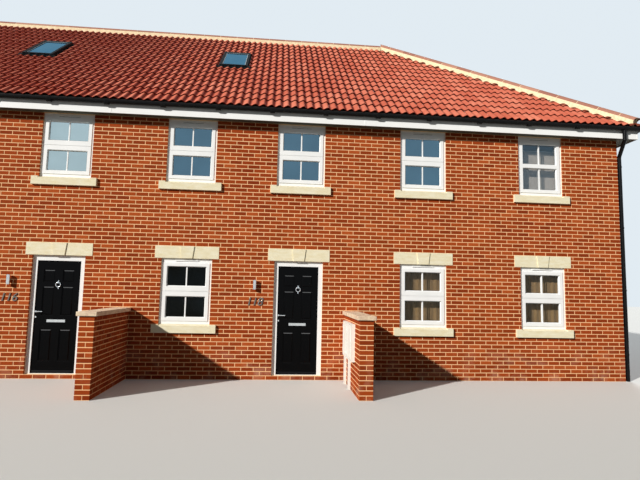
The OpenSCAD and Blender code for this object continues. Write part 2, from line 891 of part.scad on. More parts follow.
// Door frame with stops outside the leaf, a threshold on the step and its hinge pins
module door_frame() {
    clear = opening_w - 2 * jamb_w;
    clear_top = head_z - base_h - door_head_h;
    translate([0, door_reveal, base_h]) difference() {
        block([-opening_w / 2, 0, 0], [opening_w / 2, door_frame_d, head_z - base_h]);
        block([-clear / 2, door_stop, threshold_h],
              [clear / 2, door_frame_d + 1, clear_top]);
        block([-clear / 2 + door_stop, -1, threshold_h],
              [clear / 2 - door_stop, door_stop + 1, clear_top - door_stop]);
    }
    for (z = hinge_zs) translate([hinge_x, hinge_y, z]) {
        cylinder(d = hinge_pin_d, h = hinge_h);
        for (low = [0, hinge_h - knuckle_h]) translate([0, 0, low]) {
            cylinder(d = hinge_d, h = knuckle_h);
            block([0, inner_y - hinge_y, 0], [hinge_plate_w, inner_y + hinge_plate_t - hinge_y, knuckle_h]);
        }
    }
}

hinge_pin_d = 8;
hinge_play = 0.08;
hinge_plate_w = 36;
hinge_plate_t = 3;
knuckle_gap = 1;
knuckle_h = hinge_h * 0.3;
hinge_zs = [for (k = [0.08, 0.5, 0.92]) leaf_z + k * leaf_h - hinge_h / 2];

// The leaf's side of its hinges: a plate on its inner face and a knuckle round each pin
module hinge_leaves() {
    h = hinge_h - 2 * (knuckle_h + knuckle_gap);
    for (z = hinge_zs) translate([hinge_x, hinge_y, z + knuckle_h + knuckle_gap]) difference() {
        union() {
            cylinder(d = hinge_d, h = h);
            block([-hinge_plate_w, inner_y - hinge_y, 0], [0, inner_y + hinge_plate_t - hinge_y, h]);
        }
        translate([0, 0, -1]) cylinder(d = hinge_pin_d + 2 * hinge_play, h = h + 2);
    }
}

// Panel rows of a leaf from its top, as [top of the panel under the leaf's top, height]
panel_rows = [
    [top_rail_h, top_panel_h],
    [top_rail_h + top_panel_h + frieze_rail_h, middle_panel_h],
    [top_rail_h + top_panel_h + frieze_rail_h + middle_panel_h + lock_rail_h, lower_panel_h]
];

// Outline of a raised field, w wide where it is sunk and drawn in towards the leaf's face
module field_outline(w) {
    top = w / 2 - panel_bevel;
    polygon([[-w / 2, panel_sink], [w / 2, panel_sink], [top, 0], [-top, 0]]);
}

// The sunk border round a raised and bevelled field, to be cut from a leaf's face
module panel_border_cut(w, h) {
    field_w = w - panel_border;
    field_h = h - panel_border;
    difference() {
        block([-w / 2, -1, -h / 2], [w / 2, panel_sink, h / 2]);
        intersection() {
            translate([0, 0, -field_h / 2]) linear_extrude(field_h) field_outline(field_w);
            translate([field_w / 2, 0, 0]) rotate([0, -90, 0])
                linear_extrude(field_w) field_outline(field_h);
        }
    }
}

// Six-panel leaf, its outer face at leaf_y and its middle at x = 0
module door_leaf() {
    translate([0, leaf_y, leaf_z]) difference() {
        block([-leaf_w / 2, 0, 0], [leaf_w / 2, leaf_t, leaf_h]);
        for (row = panel_rows, side = [-1, 1])
            translate([side * (panel_w + muntin_w) / 2, 0, leaf_h - row[0] - row[1] / 2]) {
                panel_border_cut(panel_w, row[1]);
                translate([0, leaf_t, 0]) mirror([0, 1, 0]) panel_border_cut(panel_w, row[1]);
            }
    }
}

handle_z = leaf_z + leaf_h - handle_down;
letter_z = leaf_z + leaf_h - letter_down;
knocker_z = leaf_z + leaf_h - knocker_down;
handle_x = handle_in - leaf_w / 2;
rose_d = 32;
rose_t = 9;
lever_l = 118;
lever_d = 18;
lever_out = 48;
lock_drop = 98;
lock_d = 30;
letter_t = 9;
flap_edge = 6;
flap_t = 3;
knocker_bar = 14;

// Lever handle on its rose, over the lock cylinder, on a face that looks along -y
module lever_handle() {
    rotate([90, 0, 0]) {
        cylinder(d = rose_d, h = rose_t);
        cylinder(d = lever_d, h = lever_out + lever_d / 2);
        translate([0, -lock_drop, 0]) cylinder(d = lock_d, h = rose_t);
    }
    translate([0, -lever_out, 0]) rotate([0, 90, 0]) cylinder(d = lever_d, h = lever_l);
    translate([lever_l, -lever_out, 0]) sphere(d = lever_d);
}

// Ring knocker: a narrow backplate, and a ring that hangs from a boss in front of it
module knocker() {
    ring_r = (knocker_w - knocker_bar) / 2;
    ring_out = rose_t + knocker_bar;
    rotate([90, 0, 0]) {
        translate([-knocker_bar / 2, -knocker_h / 2, 0]) cube([knocker_bar, knocker_h, rose_t]);
        translate([0, ring_r, 0]) cylinder(d = knocker_w / 3, h = ring_out + knocker_bar);
        translate([0, -ring_r, 0]) cylinder(d = knocker_w / 4, h = ring_out);
        translate([0, 0, ring_out]) rotate_extrude() translate([ring_r, 0]) circle(d = knocker_bar);
    }
}

// Letter plate, with its flap in front
module letter_plate() {
    half_w = letter_w / 2;
    half_h = letter_h / 2;
    block([-half_w, -letter_t, -half_h], [half_w, 0, half_h]);
    block([flap_edge - half_w, -letter_t - flap_t, flap_edge - half_h],
          [half_w - flap_edge, 0, half_h - flap_edge]);
}

// Furniture of one leaf: knocker, letter plate, a lever on each side, and its hinge leaves
module door_furniture() {
    hinge_leaves();
    translate([0, leaf_y, knocker_z]) knocker();
    translate([0, leaf_y, letter_z]) letter_plate();
    translate([handle_x, leaf_y, handle_z]) lever_handle();
    translate([handle_x, leaf_y + leaf_t, handle_z]) mirror([0, 1, 0]) lever_handle();
}

module right_door_frame() { color(white_board) translate([door_x(0), 0, 0]) door_frame(); }

module left_door_frame() { color(white_board) translate([door_x(1), 0, 0]) door_frame(); }

module right_door_leaf() { color(black_board) translate([door_x(0), 0, 0]) door_leaf(); }

module left_door_leaf() { color(black_board) translate([door_x(1), 0, 0]) door_leaf(); }

module right_door_furniture() { color(chrome_look) translate([door_x(0), 0, 0]) door_furniture(); }

module left_door_furniture() { color(chrome_look) translate([door_x(1), 0, 0]) door_furniture(); }

// The doors that stay shut: those left of the view, and the end house's side door
module at_fixed_doors() {
    for (i = fixed_houses) translate([door_x(i), 0, 0]) children();
    at_side(side_door_from_corner) children();
}

module fixed_door_frames() { color(white_board) at_fixed_doors() door_frame(); }

module fixed_door_leaves() { color(black_board) at_fixed_doors() door_leaf(); }

module fixed_door_furniture() { color(chrome_look) at_fixed_doors() door_furniture(); }

// Garden walls between the front gardens
module garden_walls() {
    color(brick) for (i = houses) translate([garden_wall_x(i), 0, 0])
        block([-garden_wall_t / 2, -garden_wall_l, 0], [garden_wall_t / 2, 0, garden_wall_h]);
}

module garden_wall_copings() {
    half = garden_wall_t / 2 + coping_out;
    color(stone) for (i = houses) translate([garden_wall_x(i), 0, garden_wall_h])
        block([-half, -garden_wall_l - coping_out, 0], [half, 0, coping_t]);
}

// Meter boxes on the first garden wall, each with a cover over its service pipe below it
module meter_boxes() {
    face_x = garden_wall_x(0) - garden_wall_t / 2;
    color(white_board) for (i = [0, 1])
        translate([face_x, -meter_from_wall - i * (meter_l + meter_gap), 0]) {
            block([-meter_d, -meter_l, meter_z], [0, 0, meter_z + meter_h]);
            block([-cover_d, -cover_w, 0], [0, 0, meter_z]);
        }
}

// Up-and-down lamp beside each front door, on a short arm
module wall_lamps() {
    arm_h = lamp_h / 3;
    color(chrome_look) for (x = all_doors)
        translate([x - opening_w / 2 - lamp_from_door, 0, lamp_z]) {
            translate([0, -lamp_gap - lamp_d / 2, -lamp_h / 2]) cylinder(d = lamp_d, h = lamp_h);
            block([-lamp_d / 4, -lamp_gap - lamp_d / 2, -arm_h / 2], [lamp_d / 4, 0, arm_h / 2]);
        }
}

centred() front_wall_lower();
centred() front_wall_upper();
centred() rear_wall();
centred() side_wall();
centred() party_walls();
centred() door_steps();
centred() ground_floor();
centred() first_floor();
centred() loft_floor();
centred() front_roof_slope();
centred() rear_roof_slope();
centred() hip_roof_slope();
centred() ridge_tiles();
centred() hip_tiles();
centred() ridge_and_hip_mortar();
centred() front_eaves_boards();
centred() side_eaves_boards();
centred() rear_eaves_boards();
centred() front_gutter();
centred() side_gutter();
centred() rear_gutter();
centred() downpipes();
centred() lintels();
centred() sills();
centred() front_lower_windows();
centred() front_upper_windows();
centred() rear_windows();
centred() front_lower_glass();
centred() front_upper_glass();
centred() rear_glass();
centred() roof_window_frames();
centred() roof_window_glass();
centred() right_door_frame();
centred() left_door_frame();
centred() fixed_door_frames();
centred() right_door_leaf();
centred() left_door_leaf();
centred() fixed_door_leaves();
centred() right_door_furniture();
centred() left_door_furniture();
centred() fixed_door_furniture();
centred() garden_walls();
centred() garden_wall_copings();
centred() meter_boxes();
centred() wall_lamps();
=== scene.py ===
"""Terraced house row: the looks of its brickwork, pantile roof, windows, doors and front
gardens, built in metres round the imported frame. +Z is up and the front faces -Y."""

import math

import bpy
import numpy as np
from mathutils import Matrix, Vector


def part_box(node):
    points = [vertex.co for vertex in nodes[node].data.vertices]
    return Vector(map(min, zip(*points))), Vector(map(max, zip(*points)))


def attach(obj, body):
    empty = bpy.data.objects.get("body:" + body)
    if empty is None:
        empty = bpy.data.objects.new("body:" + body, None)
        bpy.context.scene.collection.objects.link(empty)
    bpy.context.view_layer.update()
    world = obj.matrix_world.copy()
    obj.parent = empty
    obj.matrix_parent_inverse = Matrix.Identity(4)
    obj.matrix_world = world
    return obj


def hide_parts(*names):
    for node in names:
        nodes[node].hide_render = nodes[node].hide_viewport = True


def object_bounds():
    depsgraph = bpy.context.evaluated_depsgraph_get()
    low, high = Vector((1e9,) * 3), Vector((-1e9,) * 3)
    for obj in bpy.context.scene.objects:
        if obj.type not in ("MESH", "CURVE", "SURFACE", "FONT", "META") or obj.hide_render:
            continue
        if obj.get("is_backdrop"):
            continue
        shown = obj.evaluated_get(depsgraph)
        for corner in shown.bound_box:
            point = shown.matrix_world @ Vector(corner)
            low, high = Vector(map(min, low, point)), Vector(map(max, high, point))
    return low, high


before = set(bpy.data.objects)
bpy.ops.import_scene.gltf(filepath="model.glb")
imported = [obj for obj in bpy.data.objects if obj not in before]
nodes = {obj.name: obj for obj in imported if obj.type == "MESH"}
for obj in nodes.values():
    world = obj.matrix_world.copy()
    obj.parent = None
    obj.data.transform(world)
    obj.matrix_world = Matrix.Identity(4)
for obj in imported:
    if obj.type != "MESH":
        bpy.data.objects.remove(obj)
cad_low, cad_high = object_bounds()

# Brickwork. Orange-red facing bricks, 215 x 65 mm, laid in stretcher bond in a cream mortar
# that is rubbed flush and slightly hollow. The CAD walls are the mortar bed and the plaster
# inside, and each brick is a block of its own that stands a few millimetres out of the bed.
brick_pitch = 0.225
course_h = 0.075
joint_w = 0.013
brick_proud = 0.0035
proud_spread = 0.0012
brick_root = 0.002
arris = 0.0015
shortest_cut = 0.030
UP = np.array([0.0, 0.0, 1.0])
rng = np.random.default_rng(5)


class Value:
    """One output in a node graph. + - * / > on it, with numbers or other outputs, and math() add
    Math nodes."""

    def __init__(self, graph, socket):
        self.graph, self.socket = graph, socket

    def math(self, operation, *others):
        return self.graph.math(operation, self, *others)

    def least(self, other):
        return self.math("MINIMUM", other)

    def share(self, low, high):
        """0 at low and under, 1 at high and over, straight between them."""
        return self.graph.node("ShaderNodeMapRange", {"clamp": True},
            {"Value": self, "From Min": low, "From Max": high})


for sign, operation in (("add", "ADD"), ("sub", "SUBTRACT"), ("mul", "MULTIPLY"),
        ("truediv", "DIVIDE"), ("gt", "GREATER_THAN")):
    setattr(Value, "__%s__" % sign, lambda a, b, o=operation: a.graph.math(o, a, b))
    setattr(Value, "__r%s__" % sign, lambda a, b, o=operation: a.graph.math(o, b, a))


class Graph:
    """The nodes of a material or of the world. node() adds one and gives one of its outputs."""

    def __init__(self, tree):
        self.tree = tree

    def put(self, socket, value):
        if isinstance(value, Value):
            self.tree.links.new(value.socket, socket)
        else:
            socket.default_value = value

    def node(self, kind, settings=None, inputs=None, output=0):
        """Adds a node: its settings first, a ramp's stops as (place, colour), then its inputs."""
        made = self.tree.nodes.new(kind)
        for key, value in (settings or {}).items():
            if key == "stops":
                ramp = made.color_ramp.elements
                while len(ramp) < len(value):
                    ramp.new(0.5)
                for stop, (place, colour) in zip(ramp, value):
                    stop.position, stop.color = place, colour
            else:
                setattr(made, key, value)
        for key, value in (inputs or {}).items():
            self.put(made.inputs[key], value)
        return Value(self, made.outputs[output])

    def math(self, operation, *inputs):
        return self.node("ShaderNodeMath", {"operation": operation}, dict(enumerate(inputs)))


class Finish(Graph):
    """A material being made. Constants go on the shader's own sockets, and node() adds the rest.
    A colour is (red, green, blue) from 0 to 255."""

    def __init__(self, name, **constants):
        self.material = bpy.data.materials.new(name)
        self.material.use_nodes = True
        super().__init__(self.material.node_tree)
        self.shader = self.tree.nodes["Principled BSDF"]
        self.set(**constants)

    def place(self):
        """The point on the piece, in the row's frame, as one vector."""
        return self.node("ShaderNodeTexCoord", output="Object")

    def axes(self):
        """The point's x, y and z as three values."""
        place = self.place()
        return [self.node("ShaderNodeSeparateXYZ", {}, {0: place}, k) for k in range(3)]

    def noise(self, scale, detail=3.0, roughness=0.55, stretch=None):
        """Fractal noise, scale features a metre, stretched along the axes if asked."""
        place = self.place()
        if stretch:
            place = self.node("ShaderNodeMapping", {}, {"Vector": place, "Scale": stretch})
        return self.node("ShaderNodeTexNoise", {}, {"Vector": place, "Scale": scale,
            "Detail": detail, "Roughness": roughness})

    def ramp(self, factor, *stops):
        """Colours by the factor, each at its place: (place, colour)."""
        return self.node("ShaderNodeValToRGB", {"stops": [(p, paint(c)) for p, c in stops]},
            {0: factor})

    def mix(self, factor, first, second):
        """first where factor is 0, second where it is 1."""
        return self.node("ShaderNodeMix", {"data_type": "RGBA"},
            {0: factor, 6: paint(first), 7: paint(second)}, output=2)

    def drift(self, first, second, scale):
        """Clouds of two colours, scale of them a metre."""
        return self.mix(self.noise(scale, 5.0).share(0.3, 0.7), first, second)

    def attribute(self, name):
        return self.node("ShaderNodeAttribute", {"attribute_name": name}, output="Fac")

    def faces_up(self):
        """How far the surface faces up: 1 straight up, 0 level, -1 straight down."""
        normal = self.node("ShaderNodeNewGeometry", output="Normal")
        return self.node("ShaderNodeSeparateXYZ", {}, {0: normal}, 2)

    def bump(self, height, depth):
        """Height 0 to 1 over a depth in metres, fed to the shader's normal."""
        normal = self.node("ShaderNodeBump", {}, {"Height": height, "Distance": depth})
        self.put(self.shader.inputs["Normal"], normal)

    def set(self, **values):
        for socket, value in values.items():
            self.put(self.shader.inputs[socket.replace("_", " ")], value)

    def dress(self, *names):
        """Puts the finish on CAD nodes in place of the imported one."""
        for name in names:
            slots = nodes[name].data.materials
            slots.clear()
            slots.append(self.material)
        return self


def paint(colour):
    """A colour as it is read off a screen, three numbers from 0 to 255, as the shader's linear
    colour. A linear colour of four numbers and an output pass as they are."""
    if isinstance(colour, Value) or len(colour) == 4:
        return colour
    share = np.array(colour) / 255
    linear = np.where(share <= 0.04045, share / 12.92, ((share + 0.055) / 1.055) ** 2.4)
    return (*linear.tolist(), 1.0)


def plain_finish(name, first, second, scale, grain=200.0, depth=0.0005, **constants):
    """A finish that drifts between two colours, with a fine grain in relief."""
    finish = Finish(name, **constants)
    finish.set(Base_Color=finish.drift(first, second, scale))
    finish.bump(finish.noise(grain), depth)
    return finish


class Face:
    """A flat side of the house. at(u, v, h) is the point u to the right along it as it is seen
    from outside, v up it and h out of it, for numbers or whole arrays."""

    def __init__(self, origin, outward, lean=math.pi / 2):
        flat = np.array(outward, float)
        self.origin, self.along = np.array(origin, float), np.cross(UP, flat)
        self.up = UP * math.sin(lean) - flat * math.cos(lean)
        self.normal = UP * math.cos(lean) + flat * math.sin(lean)

    def at(self, u, v, h):
        u, v, h = (np.asarray(value, float)[..., None] for value in (u, v, h))
        return self.origin + u * self.along + v * self.up + h * self.normal

    def see(self, box):
        """A box in the row's frame as its lowest and highest (u, v, h) on the face."""
        ends = (np.array(box) - self.origin) @ np.stack([self.along, self.up, self.normal], 1)
        return ends.min(0), ends.max(0)


def inset_corners(box, inset):
    """The corners (u, v) of a box (u0, v0, u1, v1), or of a row of boxes, drawn in by inset."""
    u0, v0, u1, v1 = box
    return [(u0 + inset, v0 + inset), (u1 - inset, v0 + inset), (u1 - inset, v1 - inset),
        (u0 + inset, v1 - inset)]


def add_object(name, data):
    made = bpy.data.objects.new(name, data)
    bpy.context.scene.collection.objects.link(made)
    return made


corner_picks = np.array(list(np.ndindex(2, 2, 2)))
drawn_in = 1 - np.eye(3)


def chamfered_block():
    """A block's faces, over 24 points: point 3c + a is corner c drawn in along the axes other
    than a. Six sides, twelve chamfers and eight corners, each turned outwards."""
    found = []
    for a in range(3):
        b, c = (a + 1) % 3, (a + 2) % 3
        for s in (0, 1):
            four = np.flatnonzero(corner_picks[:, a] == s)
            found.append(3 * four[[0, 1, 3, 2]] + a)
        for pick in np.ndindex(2, 2):
            one, two = 3 * np.flatnonzero((corner_picks[:, (b, c)] == pick).all(1))
            found.append(np.array([one + b, two + b, two + c, one + c]))
    found += [3 * corner + np.arange(3) for corner in range(8)]
    points = ((corner_picks[:, None] - 0.5) * (1 - 0.2 * drawn_in)).reshape(-1, 3)
    for k, face in enumerate(found):
        one, two, three = points[face[:3]]
        if np.cross(two - one, three - two) @ points[face].mean(0) < 0:
            found[k] = face[::-1]
    return [np.array([face for face in found if len(face) == sides]) for sides in (4, 3)]


block_sides, block_corners = chamfered_block()
straight = Face((0, 0, 0), (0, 0, 0))
straight.along, straight.up, straight.normal = np.eye(3)


class Parts:
    """The closed parts of one piece, gathered one by one, with a tone for each face."""

    def __init__(self):
        self.points, self.faces, self.tones, self.rises, self.count = [], [], [], [], 0

    def add(self, points, *blocks, tone=0.5, rise=0.0):
        """Points of any shape (..., 3), each with its rise, and faces as arrays (m, sides) over
        them. The part's volume, the sum of det(a, b, c) / 6 over its triangles, says if it is
        inside out."""
        points = np.asarray(points, float).reshape(-1, 3)
        self.rises.append(np.broadcast_to(np.ravel(rise), len(points)))
        middle, volume = points - points.mean(0), 0.0
        for faces in blocks:
            for k in range(1, faces.shape[1] - 1):
                a, b, c = (middle[faces[:, i]] for i in (0, k, k + 1))
                volume += (np.cross(a, b) * c).sum()
        for faces in blocks:
            self.faces.append((faces if volume > 0 else faces[:, ::-1]) + self.count)
            self.tones.append(np.broadcast_to(tone, len(faces)))
        self.points.append(points)
        self.count += len(points)
        return self

    def block(self, low, high, edge=0.002, tone=0.5, face=straight):
        """A block between two corners, (u, v, h) on a face or else (x, y, z), with its edges
        chamfered."""
        ends = np.sort(np.array([low, high], float), axis=0)
        pull = np.where(corner_picks == 1, -1.0, 1.0)[:, None] * drawn_in * edge
        points = ends[corner_picks, np.arange(3)][:, None] + pull
        return self.add(face.at(*points.reshape(-1, 3).T), block_sides, block_corners, tone=tone)

    def loft(self, rings, tone=0.5, closed=False):
        """A skin through rings (n, k, 3), closed to a loop or else with a flat cap at each end."""
        n, k = rings.shape[:2]
        i, j = np.arange(n if closed else n - 1)[:, None], np.arange(k)
        i1, j1 = (i + 1) % n, (j + 1) % k
        quads = np.stack(np.broadcast_arrays(i * k + j, i * k + j1, i1 * k + j1, i1 * k + j), -1)
        caps = [] if closed else [np.arange(k)[None, ::-1], np.arange(k)[None] + (n - 1) * k]
        return self.add(rings, quads.reshape(-1, 4), *caps, tone=tone)

    def surround(self, face, box, profile, tone=0.5):
        """A frame round (u0, v0, u1, v1), mitred at its corners. Its profile is points
        (inset, h): how far each lies inside the box, and out of the face."""
        inset, h = np.array(profile, float).T
        rings = [face.at(u, v, h) for u, v in inset_corners(box, inset)]
        return self.loft(np.stack(rings), tone, closed=True)

    def turned(self, centre, axis, profile, sides=24, tone=0.5):
        """A turned part: each point (distance out, place along) of a profile, round the axis."""
        axis = np.array(axis, float)
        one = np.cross(axis, UP) if abs(axis[2]) < 0.9 else np.array([1.0, 0, 0])
        two = np.cross(axis, one)
        turn = np.linspace(0, 2 * np.pi, sides, endpoint=False)[:, None]
        ring = np.cos(turn) * one + np.sin(turn) * two
        out, along = np.array(profile, float).T[..., None, None]
        return self.loft(np.asarray(centre) + along * axis + out * ring, tone)

    def piece(self, name, finish, slot, body="house_row", smooth=None, replaces=()):
        """Makes the mesh and its object, with the attributes tone and rise; on the roof tiles rise
        is the light left by the painted shade, 0 where it is darkest. Edges that turn by less than
        smooth degrees are shaded round."""
        sizes = np.concatenate([np.full(len(f), f.shape[1], np.int32) for f in self.faces])
        loops = np.concatenate([f.ravel() for f in self.faces]).astype(np.int32)
        points = np.concatenate(self.points).astype(np.float32)
        mesh = bpy.data.meshes.new(name)
        mesh.vertices.add(len(points))
        mesh.vertices.foreach_set("co", points.ravel())
        mesh.loops.add(len(loops))
        mesh.loops.foreach_set("vertex_index", loops)
        mesh.polygons.add(len(sizes))
        mesh.polygons.foreach_set("loop_start", (np.cumsum(sizes) - sizes).astype(np.int32))
        mesh.polygons.foreach_set("use_smooth", np.full(len(sizes), smooth is not None))
        for kind, values, domain in (("tone", self.tones, "FACE"), ("rise", self.rises, "POINT")):
            values = np.concatenate(values).astype(np.float32)
            mesh.attributes.new(kind, "FLOAT", domain).data.foreach_set("value", values)
        mesh.update(calc_edges=True)
        if smooth is not None:
            mesh.set_sharp_from_angle(angle=math.radians(smooth))
        mesh.materials.append(finish.material)
        made = add_object(name, mesh)
        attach(made, body)
        if replaces:
            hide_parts(*replaces)
        return made


def node_points(node):
    """A CAD node's points, with those at one place taken as one, and its triangles over them."""
    mesh = nodes[node].data
    mesh.calc_loop_triangles()
    co = np.zeros(len(mesh.vertices) * 3)
    mesh.vertices.foreach_get("co", co)
    tri = np.zeros(len(mesh.loop_triangles) * 3, int)
    mesh.loop_triangles.foreach_get("vertices", tri)
    spots, index = np.unique(np.round(co.reshape(-1, 3), 5), axis=0, return_inverse=True)
    return spots, index.reshape(-1)[tri].reshape(-1, 3)


def solids(node):
    """Boxes (low, high) of a CAD node's separate solids, from left to right. Points joined by
    triangles take the least label among them, until no label changes."""
    spots, corners = node_points(node)
    label = np.arange(len(spots))
    while True:
        new = label.copy()
        for k in range(3):
            np.minimum.at(new, corners[:, k], label[corners].min(1))
        if (new == label).all():
            break
        label = new
    boxes = [(spots[label == k].min(0), spots[label == k].max(0)) for k in np.unique(label)]
    return sorted(boxes, key=lambda box: tuple(box[0]))


def brick_field(length, head, holes, anchor=0.0, half_first=0, span=None, pattern=None):
    """Stretcher bond on a face, from its foot to its head: whole bricks from the anchor, each
    course half a brick past the one under it, cut to end at the holes (u0, v0, u1, v1) and at the
    span (start, stop) of a height. A pattern gives the bricks of an even and of an odd course
    instead. Rows of (u0, v0, u1, v1)."""
    rows = []
    for course in range(round(head / course_h)):
        foot = course * course_h
        start, stop = span(foot + course_h) if span else (0.0, length)
        gaps = sorted((u0, u1) for u0, v0, u1, v1 in holes if v0 < foot + course_h / 2 < v1)
        edges = [(start, start)] + gaps + [(stop, stop)]
        if pattern:
            laid = np.array(pattern[course % 2])
        else:
            left = np.arange(anchor % brick_pitch - 2 * brick_pitch, length, brick_pitch)
            left = left + 0.5 * brick_pitch * ((course + half_first) % 2)
            laid = np.stack([left, left + brick_pitch - joint_w], 1)
        for (_, a), (b, _) in zip(edges, edges[1:]):
            left, right = np.maximum(laid[:, 0], a), np.minimum(laid[:, 1], b)
            keep = right - left > shortest_cut
            left, right = left[keep], right[keep]
            if len(left) and not pattern:
                left[0], right[-1] = a, b
            lower = np.full(len(left), foot + joint_w / 2)
            rows.append(np.stack([left, lower, right, lower + course_h - joint_w], 1))
    return np.concatenate(rows)


def lay_bricks(name, *fields):
    """One block a brick for each field (rows, face): its foot lies in the bed, and its face is
    drawn in by the worn arris and pushed out by brick_proud."""
    parts = Parts()
    for rows, face in fields:
        out = brick_proud + rng.uniform(-proud_spread, proud_spread, len(rows))
        rings = [face.at(u, v, h) for inset, h in ((0.0, -brick_root + 0 * out), (arris, out))
            for u, v in inset_corners(rows.T, inset)]
        sides = np.array([[4, 5, 6, 7], [3, 2, 1, 0], [0, 1, 5, 4], [1, 2, 6, 5], [2, 3, 7, 6],
            [3, 0, 4, 7]])
        quads = (np.arange(len(rows))[:, None, None] * 8 + sides).reshape(-1, 4)
        parts.add(np.stack(rings, 1), quads, tone=np.repeat(rng.random(len(rows)), len(sides)))
    return parts.piece(name, brick_face, "brickwork")


brick_face = Finish("brick_face", Roughness=0.9, Specular_IOR_Level=0.1)
tone = brick_face.attribute("tone")
blend = brick_face.noise(42.0, 4.0, 0.65)
speck = brick_face.noise(190.0, 2.0)
fired = brick_face.ramp(tone * 0.72 + blend * 0.34, (0.0, (114, 36, 9)), (0.3, (141, 53, 16)),
    (0.75, (162, 66, 23)), (1.0, (190, 92, 42)))
fired = brick_face.mix(brick_face.noise(0.45, 2.0).share(0.35, 0.65) * 0.16, fired, (186, 96, 44))
fired = brick_face.mix(speck.share(0.62, 0.75) * 0.45, fired, (96, 38, 24))
near_foot = 1 - brick_face.axes()[2].share(0.1, 0.75)
salts = brick_face.noise(3.5, 5.0).share(0.5, 0.68) * near_foot * 0.2
brick_face.set(Base_Color=brick_face.mix(salts, fired, (226, 206, 180)))
brick_face.bump(blend * 0.6 + speck * 0.4, 0.0022)

mortar_bed = Finish("mortar_bed", Roughness=0.95, Specular_IOR_Level=0.1)
x, y, z = mortar_bed.axes()
wall_left, wall_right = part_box("front_roof_slope")[0].x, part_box("side_wall")[1].x
end_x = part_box("party_walls")[0].x
wall_front, wall_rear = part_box("front_wall_lower")[0].y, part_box("rear_wall")[1].y
depth = (x - end_x).least(wall_right - x).least(y - wall_front).least(wall_rear - y)
grain = mortar_bed.noise(260.0, 2.0)
courses = z / course_h
from_bed = courses - courses.math("ROUND")
in_brick = from_bed * from_bed > (joint_w / 2 / course_h) ** 2
reveal_depth = 0.1
mortar = mortar_bed.mix(grain * 0.4, (254, 206, 154), (236, 180, 128))
brick_end = mortar_bed.mix(grain, (140, 58, 30), (172, 80, 42))
outer = mortar_bed.mix(in_brick * (depth > 0.001), mortar, brick_end)
mortar_bed.set(Base_Color=mortar_bed.mix(depth > reveal_depth, outer, (226, 222, 212)))
mortar_bed.bump(grain, 0.0012)
mortar_bed.dress("front_wall_lower", "front_wall_upper", "rear_wall", "side_wall", "party_walls",
    "door_steps", "garden_walls")

frame_nodes = ("front_lower_windows", "front_upper_windows", "rear_windows", "right_door_frame",
    "left_door_frame", "fixed_door_frames")
stone_joint = 0.007
set_in = [(box, 0.0) for name in frame_nodes for box in solids(name)]
set_in += [(box, stone_joint) for name in ("lintels", "sills") for box in solids(name)]
near_face = 0.06


def holes_in(face):
    """What is set into a wall's face, as holes on it. Stone has mortar round it."""
    found = []
    for box, joint in set_in:
        low, high = face.see(box)
        if min(abs(low[2]), abs(high[2])) < near_face:
            found.append((low[0] - joint, low[1], high[0] + joint, high[1]))
    return found


row_l, row_d = wall_right - end_x, wall_rear - wall_front
fascia_drop = 0.016
soffit_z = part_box("front_eaves_boards")[0].z + fascia_drop
whole = brick_pitch - joint_w
front_wall = Face((end_x, wall_front, 0), (0, -1, 0))
rear_wall = Face((wall_right, wall_rear, 0), (0, 1, 0))
side_wall = Face((wall_right, wall_front, 0), (1, 0, 0))
end_wall = Face((end_x, wall_rear, 0), (-1, 0, 0))
for name, face, length, anchor, half_first in (
        ("front_bricks", front_wall, row_l, row_l - whole, 0),
        ("rear_bricks", rear_wall, row_l, 0, 0), ("side_bricks", side_wall, row_d, 0, 1)):
    lay_bricks(name, (brick_field(length, soffit_z, holes_in(face), anchor, half_first), face))

# The row's left end: the party wall that the next house would share, plain up to the tiles.
roof_co = node_points("front_roof_slope")[0]
eaves_y, ridge_y = roof_co[:, 1].min(), roof_co[:, 1].max()
eaves_z = roof_co[roof_co[:, 1] < eaves_y + 0.001, 2].max()
ridge_z = roof_co[:, 2].max()
fall = (ridge_z - eaves_z) / (ridge_y - eaves_y)
pitch = math.atan(fall)
roof_t = 0.170
roof_v = roof_t / math.cos(pitch)


def under_tiles(z):
    """Where a course whose top is at z meets the underside of the slopes, along the end wall."""
    a = max(0.0, (z - eaves_z + roof_v) / fall - (wall_front - eaves_y))
    return (a, row_d - a)


lay_bricks("end_wall_bricks", (brick_field(row_d, ridge_z - roof_v - course_h / 2, [], 0, 0,
    under_tiles), end_wall))

# Roof tiles. Red clay pantiles with two rolls a tile, laid in straight lines up the slope on
# battens over a boarded deck. Each course laps the one below, so its lower edge stands
# a tile's thickness over it, and throws the dark line that the courses show. Painted shade
# darkens the noses and the right flank of each roll, which faces away from the key light, and
# runs in a band along each hip.
roll_pitch = 0.15
gauge = 0.345
roll_h = 0.037
tile_step = 0.026
tile_t = 0.012
nose_round = 0.003
undercut = 0.06
# How far the painted shade is turned onto the right flank of each roll, and the least light it
# leaves there.
shade_turn = 1.3
least_lit = 0.12
tile_lap = 0.012
least_strip = 0.05
eaves_drip = 0.035
pan_depth = 0.037
deck_drop = 0.044
roll_samples = np.linspace(0, 1, 10, endpoint=False)

corner_x = roof_co[:, 0].max()
rear_y = 2 * ridge_y - eaves_y
# Width of the band of painted shade along each hip.
hip_shade_band = 0.30, 0.37

clay = Finish("clay_tile", Roughness=0.7, Specular_IOR_Level=0.08)
tone, rise = clay.attribute("tone"), clay.attribute("rise")
cloud = clay.noise(9.0, 4.0)
pore = clay.noise(160.0, 3.0)
baked = clay.ramp(tone * 0.4 + cloud * 0.6, (0.1, (180, 84, 62)), (0.5, (202, 108, 84)),
    (0.9, (222, 138, 112)))
# Painted shade: where rise is low, on the noses and on the right flanks of the rolls, the clay is
# painted a deep dark red.
shaded_clay = clay.mix((1 - rise.share(0.1, 0.55)) * 0.95, baked, (100, 10, 2))
x, y = clay.axes()[:2]
